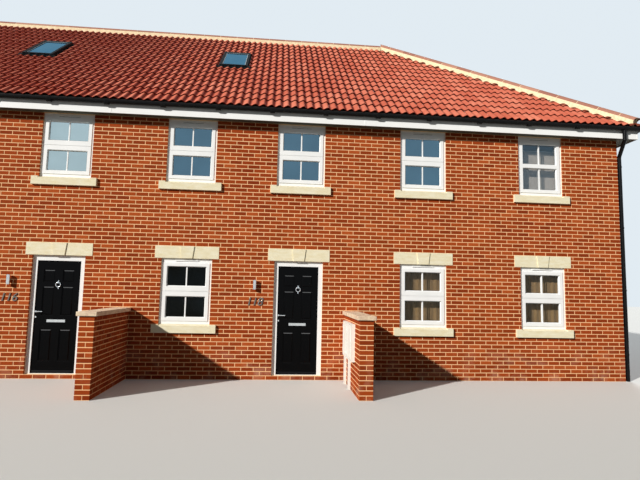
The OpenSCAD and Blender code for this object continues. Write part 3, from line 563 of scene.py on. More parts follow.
# Painted shade: a dark band along each hip, for the shadows under the cap bedding where the cut
# tiles meet it.
from_hip = (corner_x - x) - (y - eaves_y).least(rear_y - y)
hip_shade = (1 - (from_hip.math("ABSOLUTE") + cloud * 0.08).share(*hip_shade_band)) * 0.8
shaded_clay = clay.mix(hip_shade, shaded_clay, (70, 24, 10))
clay.set(Base_Color=clay.mix(pore.share(0.55, 0.8) * 0.3, shaded_clay, (140, 46, 32)))
clay.bump(pore, 0.0015)

deck = plain_finish("roof_deck", (30, 22, 19), (44, 32, 27), 30.0, Roughness=0.95)


def roll_height(u):
    """A wave of rolls and pans: half of 1 - cos(turn + 0.25 sin(turn + 1.2)), times roll_h,
    every roll_pitch. The pull in the turn makes the right flank steeper than the left."""
    turn = 2 * np.pi * u / roll_pitch
    return roll_h * 0.5 * (1 - np.cos(turn + 0.25 * np.sin(turn + 1.2)))


class Slope(Face):
    """A roof slope: its face from its lower left corner, and the share of the distance up the
    slope by which its left and right ends are drawn in by the hips."""

    def __init__(self, origin, outward, length, left_in, right_in):
        super().__init__(origin, outward, pitch)
        self.length = length
        self.left_in, self.right_in = left_in * math.cos(pitch), right_in * math.cos(pitch)


def tile_strip(parts, slope, v0, v1, u0, u1, shades):
    """A closed course of tiles from v0 up to v1, between u0 and u1 and the slope's own ends.
    Its section is the underside's foot, the nose, the top's edge and the head."""
    rolls = np.arange(math.floor(u0 / roll_pitch), math.ceil(u1 / roll_pitch) + 1)
    u = (rolls[:, None] + roll_samples).ravel() * roll_pitch
    u = np.concatenate([[u0], u[(u > u0 + 0.002) & (u < u1 - 0.002)], [u1]])
    short = max(1 - (v1 - v0) / gauge, 0.0)
    v = np.array([v0 + min(undercut, (v1 - v0) / 2), v0, v0, v0 + nose_round, v1 + tile_lap])
    lift = np.array([-0.004, tile_step - tile_t, tile_step - nose_round, tile_step,
        tile_step * short - 0.001])
    uu = np.clip(np.broadcast_to(u[:, None], (len(u), 5)), slope.left_in * v,
        slope.length - slope.right_in * v)
    points = slope.at(uu, v, roll_height(uu) + lift - pan_depth)
    a = (np.arange(len(u) - 1)[:, None] * 5 + np.arange(5)).ravel()
    b = (np.arange(len(u) - 1)[:, None] * 5 + (np.arange(5) + 1) % 5).ravel()
    ends = np.array([[0, 2, 1], [0, 3, 2], [0, 4, 3]])
    tri = np.concatenate([np.stack([a, a + 5, b + 5], 1), np.stack([a, b + 5, b], 1), ends,
        ends[:, ::-1] + (len(u) - 1) * 5])
    corners = points.reshape(-1, 3)[tri]
    real = np.linalg.norm(np.cross(corners[:, 1] - corners[:, 0], corners[:, 2] - corners[:, 0]),
        axis=1) > 1e-9
    tile = np.floor(uu.reshape(-1)[tri].mean(1) / (2 * roll_pitch)).astype(int)
    # Painted shade: rise, the light left by the painted shade, is 0 on the noses and their
    # undersides, and least on the right flank of each roll, which faces away from the key light.
    lit_side = 0.5 - 0.5 * np.cos(2 * np.pi * uu / roll_pitch + shade_turn)
    rise = (least_lit + (1 - least_lit) * lit_side) * np.array([0, 0, 0, 1, 0.75])
    parts.add(points, tri[real], tone=shades[tile[real] % len(shades)], rise=rise)


def lay_tiles(name, slope, v_top, windows=()):
    """All the courses of a slope, parted round the windows (u0, v0, u1, v1)."""
    parts = Parts()
    for course in range(math.ceil(v_top / gauge)):
        v0, v1 = course * gauge, min((course + 1) * gauge, v_top - tile_lap)
        if course == 0:
            v0 = -eaves_drip
        if v1 - v0 < least_strip:
            continue
        strips, start = [], 0.0
        for a, low, b, high in sorted(map(tuple, windows)):
            if low < v1 and high > v0:
                strips.append((v0, v1, start, a))
                strips += [(lower, upper, a, b) for lower, upper in ((v0, low), (high, v1))
                    if upper - lower > least_strip]
                start = b
        strips.append((v0, v1, start, slope.length))
        shades = rng.random(200)
        for strip in strips:
            tile_strip(parts, slope, *strip, shades)
    return parts.piece(name, clay, "clay_tiles", smooth=35)


v_ridge = (ridge_y - eaves_y) / math.cos(pitch)
front_slope = Slope((wall_left, eaves_y, eaves_z), (0, -1, 0), corner_x - wall_left, 0, 1)
rear_slope = Slope((corner_x, rear_y, eaves_z), (0, 1, 0), corner_x - wall_left, 1, 0)
hip_slope = Slope((corner_x, eaves_y, eaves_z), (1, 0, 0), rear_y - eaves_y, 1, 1)
window_gap = 0.03
window_l = 1.25
roof_windows = []
for low, high in solids("roof_window_frames"):
    middle_y, middle_z = (low[1] + high[1]) / 2, (low[2] + high[2]) / 2
    v = (middle_y - eaves_y) * math.cos(pitch) + (middle_z - eaves_z) * math.sin(pitch)
    roof_windows.append((low[0] - wall_left, v - window_l / 2, high[0] - wall_left,
        v + window_l / 2))
grow = np.array([-window_gap, -window_gap, window_gap, window_gap])
lay_tiles("front_roof_tiles", front_slope, v_ridge, [np.array(w) + grow for w in roof_windows])
lay_tiles("rear_roof_tiles", rear_slope, v_ridge)
lay_tiles("hip_roof_tiles", hip_slope, v_ridge)


def lower_deck(name, node):
    """The node's own solid, with what lies in the plane of the tiles lowered by deck_drop to
    become the boarded deck that the tiles lie on."""
    spots, tri = node_points(node)
    inward = np.minimum(spots[:, 1] - eaves_y, rear_y - spots[:, 1])
    if node == "hip_roof_slope":
        inward = corner_x - spots[:, 0]
    on_top = np.abs(spots[:, 2] - eaves_z - inward * fall) < 0.002
    spots[on_top, 2] -= deck_drop
    return Parts().add(spots, tri).piece(name, deck, "clay_tiles", replaces=(node,))


for side in ("front", "rear", "hip"):
    lower_deck(side + "_roof_deck", side + "_roof_slope")

# Ridge and hip tiles. Half-round clay tiles, 450 mm long, bedded on a broad fillet of cream
# mortar that is pressed onto the rolls under it, and pointed with the same mortar at each joint.
cap_l = 0.45
cap_joint = 0.014
cap_r, cap_t = 0.130, 0.016
ridge_rise, hip_rise = -0.075, -0.020
cap_sides = 12
cap_edge = math.radians(19)
bed_edge = 0.004
bed_foot = 0.132
bed_root = 0.06
bed_step = 0.06
bed_wobble = 0.005

cap_clay = Finish("cap_clay", Roughness=0.75)
baked = cap_clay.attribute("tone") * 0.6 + cap_clay.noise(14.0, 4.0) * 0.4
cap_clay.set(Base_Color=cap_clay.ramp(baked, (0.1, (146, 92, 76)), (0.5, (168, 114, 94)),
    (0.9, (188, 138, 116))))
cap_clay.bump(cap_clay.noise(150.0), 0.0015)
cream = plain_finish("cream_mortar", (226, 200, 158), (248, 230, 192), 22.0, 120.0, 0.003,
    Roughness=0.95)


def along_run(start, stop, section, places, mitred, lift=0.0):
    """A section's points (across, over), one section or one for each of the places along the
    line from start to stop, raised by lift. A mitred run is cut plumb at both its ends, at 45
    degrees in plan."""
    start, stop = np.array(start, float), np.array(stop, float)
    total = np.linalg.norm(stop - start)
    axis = (stop - start) / total
    side = np.cross(axis, UP) / np.linalg.norm(np.cross(axis, UP))
    section = np.broadcast_to(section, (len(places), *np.shape(section)[-2:]))
    across, over = section[..., 0], section[..., 1] + lift
    s = np.broadcast_to(np.asarray(places, float)[:, None], across.shape)
    if mitred:
        flat = np.hypot(axis[0], axis[1])
        s = np.clip(s, (np.abs(across) + over * axis[2]) / flat,
            total - (np.abs(across) - over * axis[2]) / flat)
    s, across, over = s[..., None], across[..., None], over[..., None]
    return start + s * axis + across * side + over * np.cross(side, axis)


apex = (corner_x - (ridge_y - eaves_y), ridge_y, ridge_z)
hip_fall = math.tan(math.acos(math.sqrt((1 + math.cos(pitch) ** 2) / 2)))
turn = np.linspace(cap_edge, np.pi - cap_edge, cap_sides)
arc = np.stack([np.cos(turn), np.sin(turn)], 1)
shell = np.concatenate([arc * cap_r, arc[::-1] * (cap_r - cap_t)])
caps, bedding = Parts(), Parts()
for start, mitred in (((wall_left, ridge_y, ridge_z), False),
        ((corner_x, eaves_y, eaves_z), True), ((corner_x, rear_y, eaves_z), True)):
    run_fall, lift = (hip_fall, hip_rise) if mitred else (fall, ridge_rise)
    total = np.linalg.norm(np.array(apex) - np.array(start))
    ends = np.linspace(0, total, round(total / cap_l) + 1)
    for a, b in zip(ends, ends[1:]):
        spot = (a + (cap_joint / 2 if a else 0.0), b - cap_joint / 2)
        caps.loft(along_run(start, apex, shell, spot, mitred, lift), tone=rng.random())
    places = np.linspace(0, total, round(total / bed_step))
    foot = np.array([bed_foot + 0.012, -(bed_foot + 0.012) * run_fall - bed_root])
    flank = np.array([bed_foot, cap_r * math.sin(cap_edge) - 0.02])
    half_section = np.array([foot, flank])
    section = np.concatenate([half_section, arc * (cap_r - bed_edge),
        half_section[::-1] * (-1, 1)])
    section = np.repeat(section[None], len(places), 0)
    section[:, [1, -2]] += rng.uniform(-bed_wobble, bed_wobble, (len(places), 2, 2))
    bedding.loft(along_run(start, apex, section, places, mitred, lift))
caps.piece("ridge_and_hip_tiles", cap_clay, "clay_tiles", smooth=35,
    replaces=("ridge_tiles", "hip_tiles"))
bedding.piece("cap_bedding", cream, "mortar", smooth=40, replaces=("ridge_and_hip_mortar",))

# Eaves. White plastic fascia boards over vented soffits, with butt joints under clipped
# covers and a trim at each corner. The soffits and every other downward face of the boards are
# painted grey-olive, painted shade for the deep shade under the eaves. Black half-round gutters
# lie in moulded saddles, one at each of their brackets.
joint_xs = (-5.6, -0.9, 3.8)
cover_w = 0.022
trim_t = 0.002
vent_w = 0.012
vent_from_edge = 0.06
board_top_gap = 0.03
saddle_w, saddle_t, saddle_drop = 0.09, 0.004, 0.014
first_saddle, saddle_pitch = 0.5, 1.0

white_board = Finish("white_board", Roughness=0.45, Specular_IOR_Level=0.12)
board = white_board.drift((249, 249, 246), (254, 254, 252), 3.0)
# Painted shade: faces that point down, the soffits under the eaves, are painted a dark grey-olive.
soffit_shade = (0 - white_board.faces_up()).share(0.5, 0.9)
white_board.set(Base_Color=white_board.mix(soffit_shade, board, (112, 114, 98)))
white_board.bump(white_board.noise(200.0), 0.0005)
white_board.dress("front_eaves_boards", "side_eaves_boards", "rear_eaves_boards")
black_pvc = plain_finish("black_rainwater", (9, 9, 10), (20, 20, 21), 8.0, 90.0, 0.0006,
    Roughness=0.2, Specular_IOR_Level=0.12)
black_pvc.dress("front_gutter", "side_gutter", "rear_gutter", "downpipes")
shadow_gap = plain_finish("shadow_gap", (16, 16, 16), (26, 26, 26), 20.0, Roughness=0.9)

front_boards, side_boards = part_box("front_eaves_boards"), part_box("side_eaves_boards")
board_foot, board_head, boards_end = front_boards[0].z, front_boards[1].z, side_boards[1].x
vent_foot, vent_head = board_foot - 0.0015, board_foot + 0.002
trims, vents = Parts(), Parts()
for y, out in ((front_boards[0].y, -1), (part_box("rear_eaves_boards")[1].y, 1)):
    for x in joint_xs:
        trims.block((x, y - out * 0.001, board_foot),
            (x + cover_w, y + out * trim_t, board_head - board_top_gap), 0.0008)
    trims.block((boards_end - cover_w + trim_t, y - out * 0.02, board_foot),
        (boards_end + trim_t, y + out * trim_t, board_head - board_top_gap), 0.0008)
    vents.block((wall_left + 0.03, y - out * vent_from_edge, vent_foot),
        (wall_right, y - out * (vent_from_edge + vent_w), vent_head), 0.0004)
x = boards_end - vent_from_edge
vents.block((x - vent_w, wall_front, vent_foot), (x, wall_rear, vent_head), 0.0004)
trims.piece("eaves_joint_covers", white_board, "white_boards")
vents.piece("soffit_vents", shadow_gap, "black_rainwater")

saddles = Parts()
bowl = np.linspace(0, np.pi, 14)
for low, high in (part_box("front_gutter"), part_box("rear_gutter")):
    outer = np.stack([bowl * 0, np.cos(bowl) * ((high.y - low.y) / 2 + saddle_t - 0.006),
        -np.sin(bowl) * (high.z - low.z + saddle_drop)], 1)
    ring = np.concatenate([outer, outer[::-1] * 0.93])
    for x in np.arange(wall_left + first_saddle - saddle_w / 2, wall_right, saddle_pitch):
        saddles.loft(np.stack([ring * size + (x + dx, (low.y + high.y) / 2, high.z - 0.002)
            for dx, size in ((0, 0.97), (0.006, 1), (saddle_w - 0.006, 1), (saddle_w, 0.97))]))
saddles.piece("gutter_saddles", black_pvc, "black_rainwater", smooth=30)

# Stone. Lintels with a raised keystone and sills, cast in a cream-yellow stone mix with fine
# pores, weathered a little darker in patches.
cast_stone = Finish("cast_stone", Roughness=0.85)
weather = cast_stone.noise(7.0, 5.0, stretch=(1.0, 1.0, 3.0)).share(0.35, 0.7)
stone = cast_stone.mix(weather, (243, 235, 206), (234, 221, 182))
pores = cast_stone.noise(420.0, 2.0).share(0.62, 0.72)
cast_stone.set(Base_Color=cast_stone.mix(pores * 0.5, stone, (168, 150, 112)))
cast_stone.bump(cast_stone.noise(300.0) - pores * 0.6, 0.0012)
cast_stone.dress("lintels", "sills")

# Windows. White plastic frames with top-hung and fixed sashes. A sealed glass unit sits in each
# on black gaskets, under a bevelled bead, with a bar stuck on both its sides. A trickle vent is
# screwed over the head, and a sealant bead runs between the frame and the bricks.
bar_w, bar_t = 0.025, 0.009
bead_w, bead_t = 0.012, 0.016
gasket_w, gasket_t = 0.004, 0.003
vent_l, vent_h, vent_t = 0.42, 0.026, 0.013
vent_from_head = 0.056
sash_proud = 0.014
sealant_w = 0.009
least_frame = 0.5
upstairs_z = 2.5
curtains_from_x = 4.0

frame_white = plain_finish("frame_white", (244, 244, 242), (251, 251, 249), 4.0, Roughness=0.3)
frame_white.dress(*frame_nodes)
rubber = plain_finish("black_gasket", (18, 18, 18), (30, 30, 30), 20.0, Roughness=0.6)
sealant = plain_finish("frame_sealant", (226, 212, 186), (238, 228, 206), 9.0, Roughness=0.6)

# How each window's glass looks, as painted reflection and shade: a dark pane painted for the
# dark room, clear before a curtain, the pale sky and the deeper sky painted as reflections, and
# the casement's pale blue-grey reflection, with the share of the light that it throws back.
glass = Finish("window_glass", Roughness=0.02, Metallic=1.0)
tone = glass.attribute("tone")
waver = glass.noise(1.3, 2.0)
sky_looks = ((0.0, (23, 23, 20), 0.82), (0.25, (150, 150, 140), 0.05), (0.5, (196, 214, 216), 0.9),
    (0.75, (100, 132, 150), 0.86), (1.0, (120, 142, 156), 0.22))
reflection_tint = glass.ramp(tone, *((place, colour) for place, colour, _ in sky_looks))
# Painted reflection: the tint is the colour of what each pane reflected, and the waver darkens it
# in clouds.
glass.set(Base_Color=glass.mix(waver.share(0.35, 0.75) * 0.22, reflection_tint, (60, 74, 84)),
    Alpha=glass.ramp(tone, *((place, (a, a, a, 1)) for place, _, a in sky_looks)))


def face_of(box):
    """The face that a window or door is set in: the side's, the rear's or the front's."""
    if box[1][0] > wall_right - 0.5:
        return side_wall
    return rear_wall if box[1][1] > 0 else front_wall


def look_of(box):
    """Which of sky_looks a window has, by its place, as the tone of its panes: clear before the
    curtains behind the end house's lower windows, a painted dark room in the other lower ones,
    the painted casement reflection at the right, painted pale sky at the left, and painted deeper
    sky between them and at the rear."""
    x, y, z = box[0]
    if z < upstairs_z:
        return 0.25 * (y < 0 and x > curtains_from_x)
    if y > 0:
        return 0.75
    return 0.5 if x < -2 else 0.75 if x < 6 else 1.0


white_trim, gaskets, beads_of_sealant = Parts(), Parts(), Parts()
for node in ("front_lower_glass", "front_upper_glass", "rear_glass"):
    panes = Parts()
    for box in solids(node):
        face = face_of(box)
        low, high = face.see(box)
        panes.block(low, high, 0.0006, tone=look_of(box), face=face)
        middle, outer = (low[0] + high[0]) / 2, high[2]
        for h in (outer - 0.0004, low[2] - bar_t):
            white_trim.block((middle - bar_w / 2, low[1], h),
                (middle + bar_w / 2, high[1], h + bar_t + 0.0004), 0.003, face=face)
        opening = (*low[:2], *high[:2])
        white_trim.surround(face, opening, [(-0.001, outer), (bead_w, outer),
            (bead_w, outer + gasket_t), (-0.001, outer + bead_t)])
        gaskets.surround(face, opening, [(bead_w, outer), (bead_w + gasket_w, outer),
            (bead_w + gasket_w, outer + gasket_t * 0.6), (bead_w, outer + gasket_t)])
    panes.piece(node.replace("glass", "panes"), glass, "window_glass", replaces=(node,))
for node in frame_nodes:
    vented = "windows" in node
    for box in solids(node):
        face = face_of(box)
        low, high = face.see(box)
        if min(high[0] - low[0], high[1] - low[1]) < least_frame:
            continue
        front = high[2] - sash_proud * vented
        beads_of_sealant.surround(face, (*low[:2], *high[:2]),
            [(-0.001, front), (sealant_w, front), (-0.001, front + sealant_w)])
        if vented:
            middle, top = (low[0] + high[0]) / 2, high[1] - vent_from_head
            white_trim.block((middle - vent_l / 2, top, front - 0.001),
                (middle + vent_l / 2, top + vent_h, front + vent_t), 0.004, face=face)
            gaskets.block((middle - vent_l / 2 + 0.02, top - 0.003, front - 0.001),
                (middle + vent_l / 2 - 0.02, top + 0.002, front + 0.006), 0.0008, face=face)
white_trim.piece("glazing_bars_beads_and_vents", frame_white, "white_frames")
gaskets.piece("glazing_gaskets", rubber, "white_frames")
beads_of_sealant.piece("frame_sealant_beads", sealant, "white_frames")

# Curtains and blind. Brown lined curtains hang in shallow folds from a white track in the head of
# two ground floor windows, and a grey roller blind hangs before the upper casement.
track_w, track_h = 0.022, 0.014
frame_depth, cloth_gap = 0.105, 0.105
fold_l, fold_d = 0.11, 0.0065
cloth_top_gap, cloth_foot_gap, cloth_side_gap = 0.002, 0.03, 0.02
curtain_tone = (134, 107, 68), (116, 91, 56)
blind_tone = (216, 204, 190), (200, 190, 178)
roller_r = 0.016


def cloth_finish(name, colours, threads):
    """Plain weave: two waves of threads, crossing, as relief and as a slight change of tone."""
    finish = Finish(name, Roughness=0.9, Sheen_Weight=0.2)
    x, _, z = finish.axes()
    weave = (x * threads).math("SINE") * (z * threads).math("SINE")
    shade = finish.noise(7.0, 4.0).share(0.3, 0.7) * 0.7 + weave * 0.15 + 0.15
    finish.set(Base_Color=finish.mix(shade, *colours))
    finish.bump(weave * 0.5 + 0.5, 0.0004)
    return finish


def hang_cloth(name, finish, left, right, foot, top, y, depth):
    """A sheet whose point (u, v) swings round y by depth times the sine of its place along
    the folds, a little less at the heading, with each fold a little wider or narrower."""
    wide_n, high_n = 140, 12
    u, v = np.linspace(0, 1, wide_n)[:, None], np.linspace(0, 1, high_n)[None]
    turns = 2 * np.pi * (right - left) / fold_l
    swing = np.sin(turns * u + 0.9 * np.sin(5 * u) + 0.12 * np.sin(3 * v)) * (1 - 0.35 * v)
    x = np.broadcast_to(left + (right - left) * u, swing.shape)
    z = np.broadcast_to(foot + (top - foot) * v, x.shape)
    points = np.stack([x, y + depth * swing, z], -1)
    i, j = np.arange(wide_n - 1)[:, None] * high_n, np.arange(high_n - 1)
    quads = np.stack([i + j, i + j + high_n, i + j + high_n + 1, i + j + 1], -1).reshape(-1, 4)
    parts = Parts()
    parts.points, parts.faces = [points.reshape(-1, 3)], [quads]
    parts.tones, parts.rises = [np.zeros(len(quads))], [np.zeros(points.size // 3)]
    sheet = parts.piece(name, finish, "white_frames", smooth=180)
    thickness = sheet.modifiers.new("cloth", "SOLIDIFY")
    thickness.thickness, thickness.offset = 0.0008, 0.0


cloth_y = wall_front + frame_depth + cloth_gap
brown_cloth = cloth_finish("brown_curtain", curtain_tone, 2200.0)
grey_cloth = cloth_finish("grey_blind", blind_tone, 3000.0)
lower_boxes = [box for box in solids("front_lower_windows") if box[0][0] > curtains_from_x]
tracks = Parts()
for low, high in lower_boxes:
    tracks.block((low[0] + 0.01, cloth_y - track_w / 2, high[2] - track_h),
        (high[0] - 0.01, cloth_y + track_w / 2, high[2] + 0.0005))
tracks.piece("curtain_tracks", frame_white, "white_frames")
for k, (low, high) in enumerate(lower_boxes):
    hang_cloth("brown_curtain_%d" % (k + 1), brown_cloth, low[0] + cloth_side_gap,
        high[0] - cloth_side_gap, low[2] + cloth_foot_gap, high[2] - track_h - cloth_top_gap,
        cloth_y, fold_d)
low, high = max(solids("front_upper_windows"), key=lambda box: box[0][0])
blind_foot, roller_z = low[2] + 0.09, high[2] - 0.24
roller = Parts().turned((low[0] + 0.03, cloth_y + roller_r, roller_z), (1, 0, 0),
    [(roller_r, 0), (roller_r, high[0] - low[0] - 0.06)])
for end, inward in ((low[0], 1), (high[0], -1)):
    roller.block((end + inward * 0.001, cloth_y, roller_z - 0.02),
        (end + inward * 0.032, cloth_y + 0.034, roller_z + 0.02))
roller.piece("blind_roller", frame_white, "white_frames")
left, right = low[0] + 0.04, high[0] - 0.04
foot_bar = Parts().block((left, cloth_y - 0.006, blind_foot - 0.02),
    (right, cloth_y + 0.006, blind_foot + 0.004), 0.003)
foot_bar = foot_bar.piece("blind_foot_bar", frame_white, "white_frames")
hang_cloth("grey_roller_blind", grey_cloth, left, right, blind_foot, roller_z, cloth_y, 0.0005)

# Roof windows. Dark metal covers and a pale sash lip round a sealed unit, with flat flashings
# that run down both sides under the tiles and an apron dressed over the rolls at the foot.
flash_w = 0.035
flash_h = -0.012
apron_l = 0.09
apron_t = 0.004
lip_w = 0.014

dark_metal = plain_finish("roof_window_metal", (14, 16, 18), (24, 26, 28), 30.0, Roughness=0.5,
    Specular_IOR_Level=0.03)
dark_metal.dress("roof_window_frames")
lip_metal = plain_finish("roof_window_lip", (150, 156, 158), (172, 176, 176), 30.0, Roughness=0.4,
    Metallic=0.4)
# Painted reflection: the roof windows' glass is coloured, and its gloss tinted, the blue of the
# sky it reflected, in clouds.
painted_sky_glass = Finish("roof_window_glass", Roughness=0.03, Metallic=1.0, Alpha=0.9,
    Specular_Tint=(0.42, 0.6, 0.7, 1.0))
painted_sky_glass.set(Base_Color=painted_sky_glass.mix(painted_sky_glass.noise(2.5), (86, 126, 152), (116, 158, 180)))
painted_sky_glass.dress("roof_window_glass")
flashings, lips = Parts(), Parts()
for u0, v0, u1, v1 in roof_windows:
    flashings.surround(front_slope, (u0, v0, u1, v1), [(0.002, -0.04), (-flash_w, -0.04),
        (-flash_w, flash_h), (0.002, flash_h)])
    u = np.arange(u0 - 0.07, u1 + 0.075, roll_pitch / 12)
    top, edge = v0 + 0.004, v0 - apron_l
    rise = roll_height(u) - pan_depth + tile_step
    flat = np.maximum(rise, rise.mean())
    rings = [front_slope.at(u, v, h) for v, h in ((top, flat + 0.012), (v0 - 0.02, flat + 0.010),
        (v0 - 0.05, rise + 0.004 + apron_t), (edge, rise + apron_t), (edge, rise + 0.0005),
        (v0 - 0.05, rise + 0.001), (top, rise * 0 - 0.03))]
    flashings.loft(np.stack(rings, 1))
    lips.surround(front_slope, (u0 + 0.056, v0 + 0.056, u1 - 0.056, v1 - 0.056),
        [(-0.002, 0.018), (lip_w, 0.0245), (lip_w, 0.031), (-0.002, 0.034)])
flashings.piece("roof_window_flashings", dark_metal, "roof_window_metal")
lips.piece("roof_window_lips", lip_metal, "roof_window_metal")

# Doors. Composite leaves with a black skin pressed with a faint wood grain, polished fittings,
# and a black weather bar screwed across the foot of each leaf. What faces up is painted pale
# grey, a painted highlight for the light caught on the panels' top bevels.
drip_inset = 0.03
knocker_down, ring_r = 0.437, 0.036
plate_proud, ring_proud = 0.014, 0.022
drip_w, drip_h = 0.014, 0.032

door_black = Finish("door_skin", Roughness=0.22, Specular_IOR_Level=0.07)
grain = door_black.noise(26.0, 5.0, stretch=(6.0, 6.0, 0.5))
# Painted highlight: faces that point up, the top bevels of the panels, turn pale grey.
bevel_highlight = door_black.faces_up().share(0.2, 0.6) * (grain * 0.4 + 0.3)
skin = door_black.mix(grain, (2, 2, 3), (7, 7, 8))
door_black.set(Base_Color=door_black.mix(bevel_highlight, skin, (128, 130, 132)))
door_black.bump(grain, 0.0006)
door_black.dress("right_door_leaf", "left_door_leaf", "fixed_door_leaves")
polished = Finish("polished_fittings", Roughness=0.14, Metallic=1.0)
x, y, z = polished.axes()
leaf_low, leaf_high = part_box("right_door_leaf")
proud = (leaf_low.y - y).math("MAXIMUM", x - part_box("fixed_door_leaves")[1].x)
from_ring = z - (leaf_high.z - knocker_down)
in_ring = (ring_r ** 2 - from_ring * from_ring) > 0
behind_ring = in_ring * (1 - proud.share(plate_proud, ring_proud))
steel = polished.drift((216, 218, 220), (232, 234, 236), 20.0)
polished.set(Base_Color=polished.mix(behind_ring, steel, (16, 16, 17)))
polished.bump(polished.noise(90.0), 0.0001)
polished.dress("right_door_furniture", "left_door_furniture", "fixed_door_furniture")
for name, leaf, body in (("right_door", "right_door_leaf", "right_door"),
        ("left_door", "left_door_leaf", "left_door"),
        ("fixed_door", "fixed_door_leaves", "house_row")):
    drips = Parts()
    for box in solids(leaf):
        face = face_of(box)
        low, high = face.see(box)
        out, foot = high[2], low[1] + 0.012
        section = [(out - 0.001, foot + drip_h), (out - 0.001, foot), (out + drip_w, foot),
            (out + drip_w, foot + 0.006), (out + 0.004, foot + drip_h)]
        drips.loft(np.stack([face.at(u, [v for _, v in section], [h for h, _ in section])
            for u in (low[0] + drip_inset, high[0] - drip_inset)]))
    drips.piece(name + "_weather_bar", black_pvc, "door_skin", body)

# Lamps and numbers. Up-and-down lamps in polished steel, with a lip and a frosted lens at each
# end, and three polished numerals beside each door that stand off the wall on pins.
lip_r, lip_h = 0.0015, 0.007
digit_h, digit_t, digit_off = 0.148, 0.007, 0.009
digit_lean, digit_drop = 0.22, 0.29

lamp_steel = plain_finish("lamp_steel", (206, 206, 204), (226, 226, 224), 20.0, 400.0, 0.0001,
    Roughness=0.18, Metallic=1.0).dress("wall_lamps")
frosted = plain_finish("frosted_lens", (226, 230, 230), (240, 243, 243), 20.0, Roughness=0.5)
lamp_lips, lenses = Parts(), Parts()
lamp_boxes = solids("wall_lamps")
for low, high in lamp_boxes:
    r = (high[0] - low[0]) / 2
    centre = np.array([(low[0] + high[0]) / 2, low[1] + r, 0.0])
    for z, up in ((low[2], -1), (high[2], 1)):
        end = centre + (0, 0, z)
        lamp_lips.turned(end, (0, 0, up), [(r - 0.004, -lip_h - 0.001), (r + lip_r, -lip_h),
            (r + lip_r, -0.0015), (r, 0.0008), (r - 0.003, 0.001), (r - 0.006, -0.003)])
        lenses.turned(end, (0, 0, up), [(r - 0.006, -0.004), (r - 0.007, 0.0005),
            (r * 0.5, 0.0012), (0.002, 0.0014)])
lamp_lips.piece("lamp_lips", lamp_steel, "lamp_steel", smooth=30)
lenses.piece("lamp_lenses", frosted, "lamp_steel")

numerals = Parts()
for (low, high), digits in zip(reversed(lamp_boxes), ("118", "116", "120")):
    curve = bpy.data.curves.new("digits", "FONT")
    curve.body, curve.size, curve.shear = digits, digit_h * 1.37, digit_lean
    curve.extrude, curve.bevel_depth, curve.align_x = digit_t / 2, 0.0012, "CENTER"
    holder = add_object("digits", curve)
    depsgraph = bpy.context.evaluated_depsgraph_get()
    shape = bpy.data.meshes.new_from_object(holder.evaluated_get(depsgraph))
    flat = np.array([v.co for v in shape.vertices])
    middle, foot = (low[0] + high[0]) / 2 - end_x, low[2] - digit_drop
    points = front_wall.at(middle + flat[:, 0], foot + flat[:, 1],
        digit_off + digit_t / 2 + flat[:, 2])
    shape.calc_loop_triangles()
    numerals.add(points, np.array([t.vertices for t in shape.loop_triangles]))
    for u in np.linspace(flat[:, 0].min() * 0.62, flat[:, 0].max() * 0.62, 3):
        near = flat[np.argmin(np.abs(flat[:, 0] - u) + np.abs(flat[:, 1] - digit_h / 2))]
        numerals.turned(front_wall.at(middle + near[0], foot + near[1], 0.0), (0, -1, 0),
            [(0.002, 0.0), (0.002, digit_off + 0.002)], 8)
    bpy.data.objects.remove(holder)
numeral_metal = plain_finish("numeral_metal", (112, 104, 98), (150, 142, 134), 30.0, 90.0, 0.0003,
    Roughness=0.22, Metallic=1.0)
numerals.piece("house_numerals", numeral_metal, "lamp_steel")

# Front gardens. One-brick walls between the gardens, under copings of pale stone laid in three
# lengths with mortar between them, greyed and pinked by the weather.
end_bond = [[(0.0, 0.1028), (0.1128, 0.2156)], [(0.0, 0.2156), (0.0, 0.2156)]]
coping_lengths = 3
coping_joint = 0.008

fields = []
for low, high in solids("garden_walls"):
    long, wide, head = high[1] - low[1], high[0] - low[0], high[2]
    fields += [(brick_field(long, head, []), Face((high[0], low[1], 0), (1, 0, 0))),
        (brick_field(long, head, [], long - whole), Face((low[0], high[1], 0), (-1, 0, 0))),
        (brick_field(wide, head, [], pattern=end_bond), Face((low[0], low[1], 0), (0, -1, 0)))]
lay_bricks("garden_wall_bricks", *fields)

pale_stone = Finish("pale_stone", Roughness=0.9)
tone = pale_stone.attribute("tone")
bloom = pale_stone.noise(9.0, 6.0, 0.62).share(0.34, 0.68)
grime = pale_stone.noise(38.0, 4.0).share(0.55, 0.75)
stone = pale_stone.ramp(bloom * 0.8 + tone * 0.2, (0.0, (200, 168, 148)), (0.5, (230, 204, 172)),
    (1.0, (246, 230, 200)))
pale_stone.set(Base_Color=pale_stone.mix(grime * 0.4, stone, (150, 130, 116)))
pale_stone.bump(pale_stone.noise(120.0, 4.0), 0.003)
stones, stone_joints = Parts(), Parts()
for low, high in solids("garden_wall_copings"):
    ends = np.linspace(low[1], high[1], coping_lengths + 1)
    for a, b in zip(ends, ends[1:]):
        stones.block((low[0], a + coping_joint / 2, low[2]),
            (high[0], b - coping_joint / 2, high[2]), 0.006, rng.random())
    stone_joints.block((low[0] + 0.004, low[1] + 0.02, low[2] + 0.0005),
        (high[0] - 0.004, high[1], high[2] - 0.004), 0.001)
stones.piece("coping_stones", pale_stone, "pale_stone", replaces=("garden_wall_copings",))
stone_joints.piece("coping_mortar", cream, "mortar")

# Meter boxes. Two white moulded boxes screwed to the garden wall, each with a hinged door and
# a triangular lock, and a cover strip over its pipe down to the ground.
box_h = 0.6
door_in = 0.018
door_t = 0.006

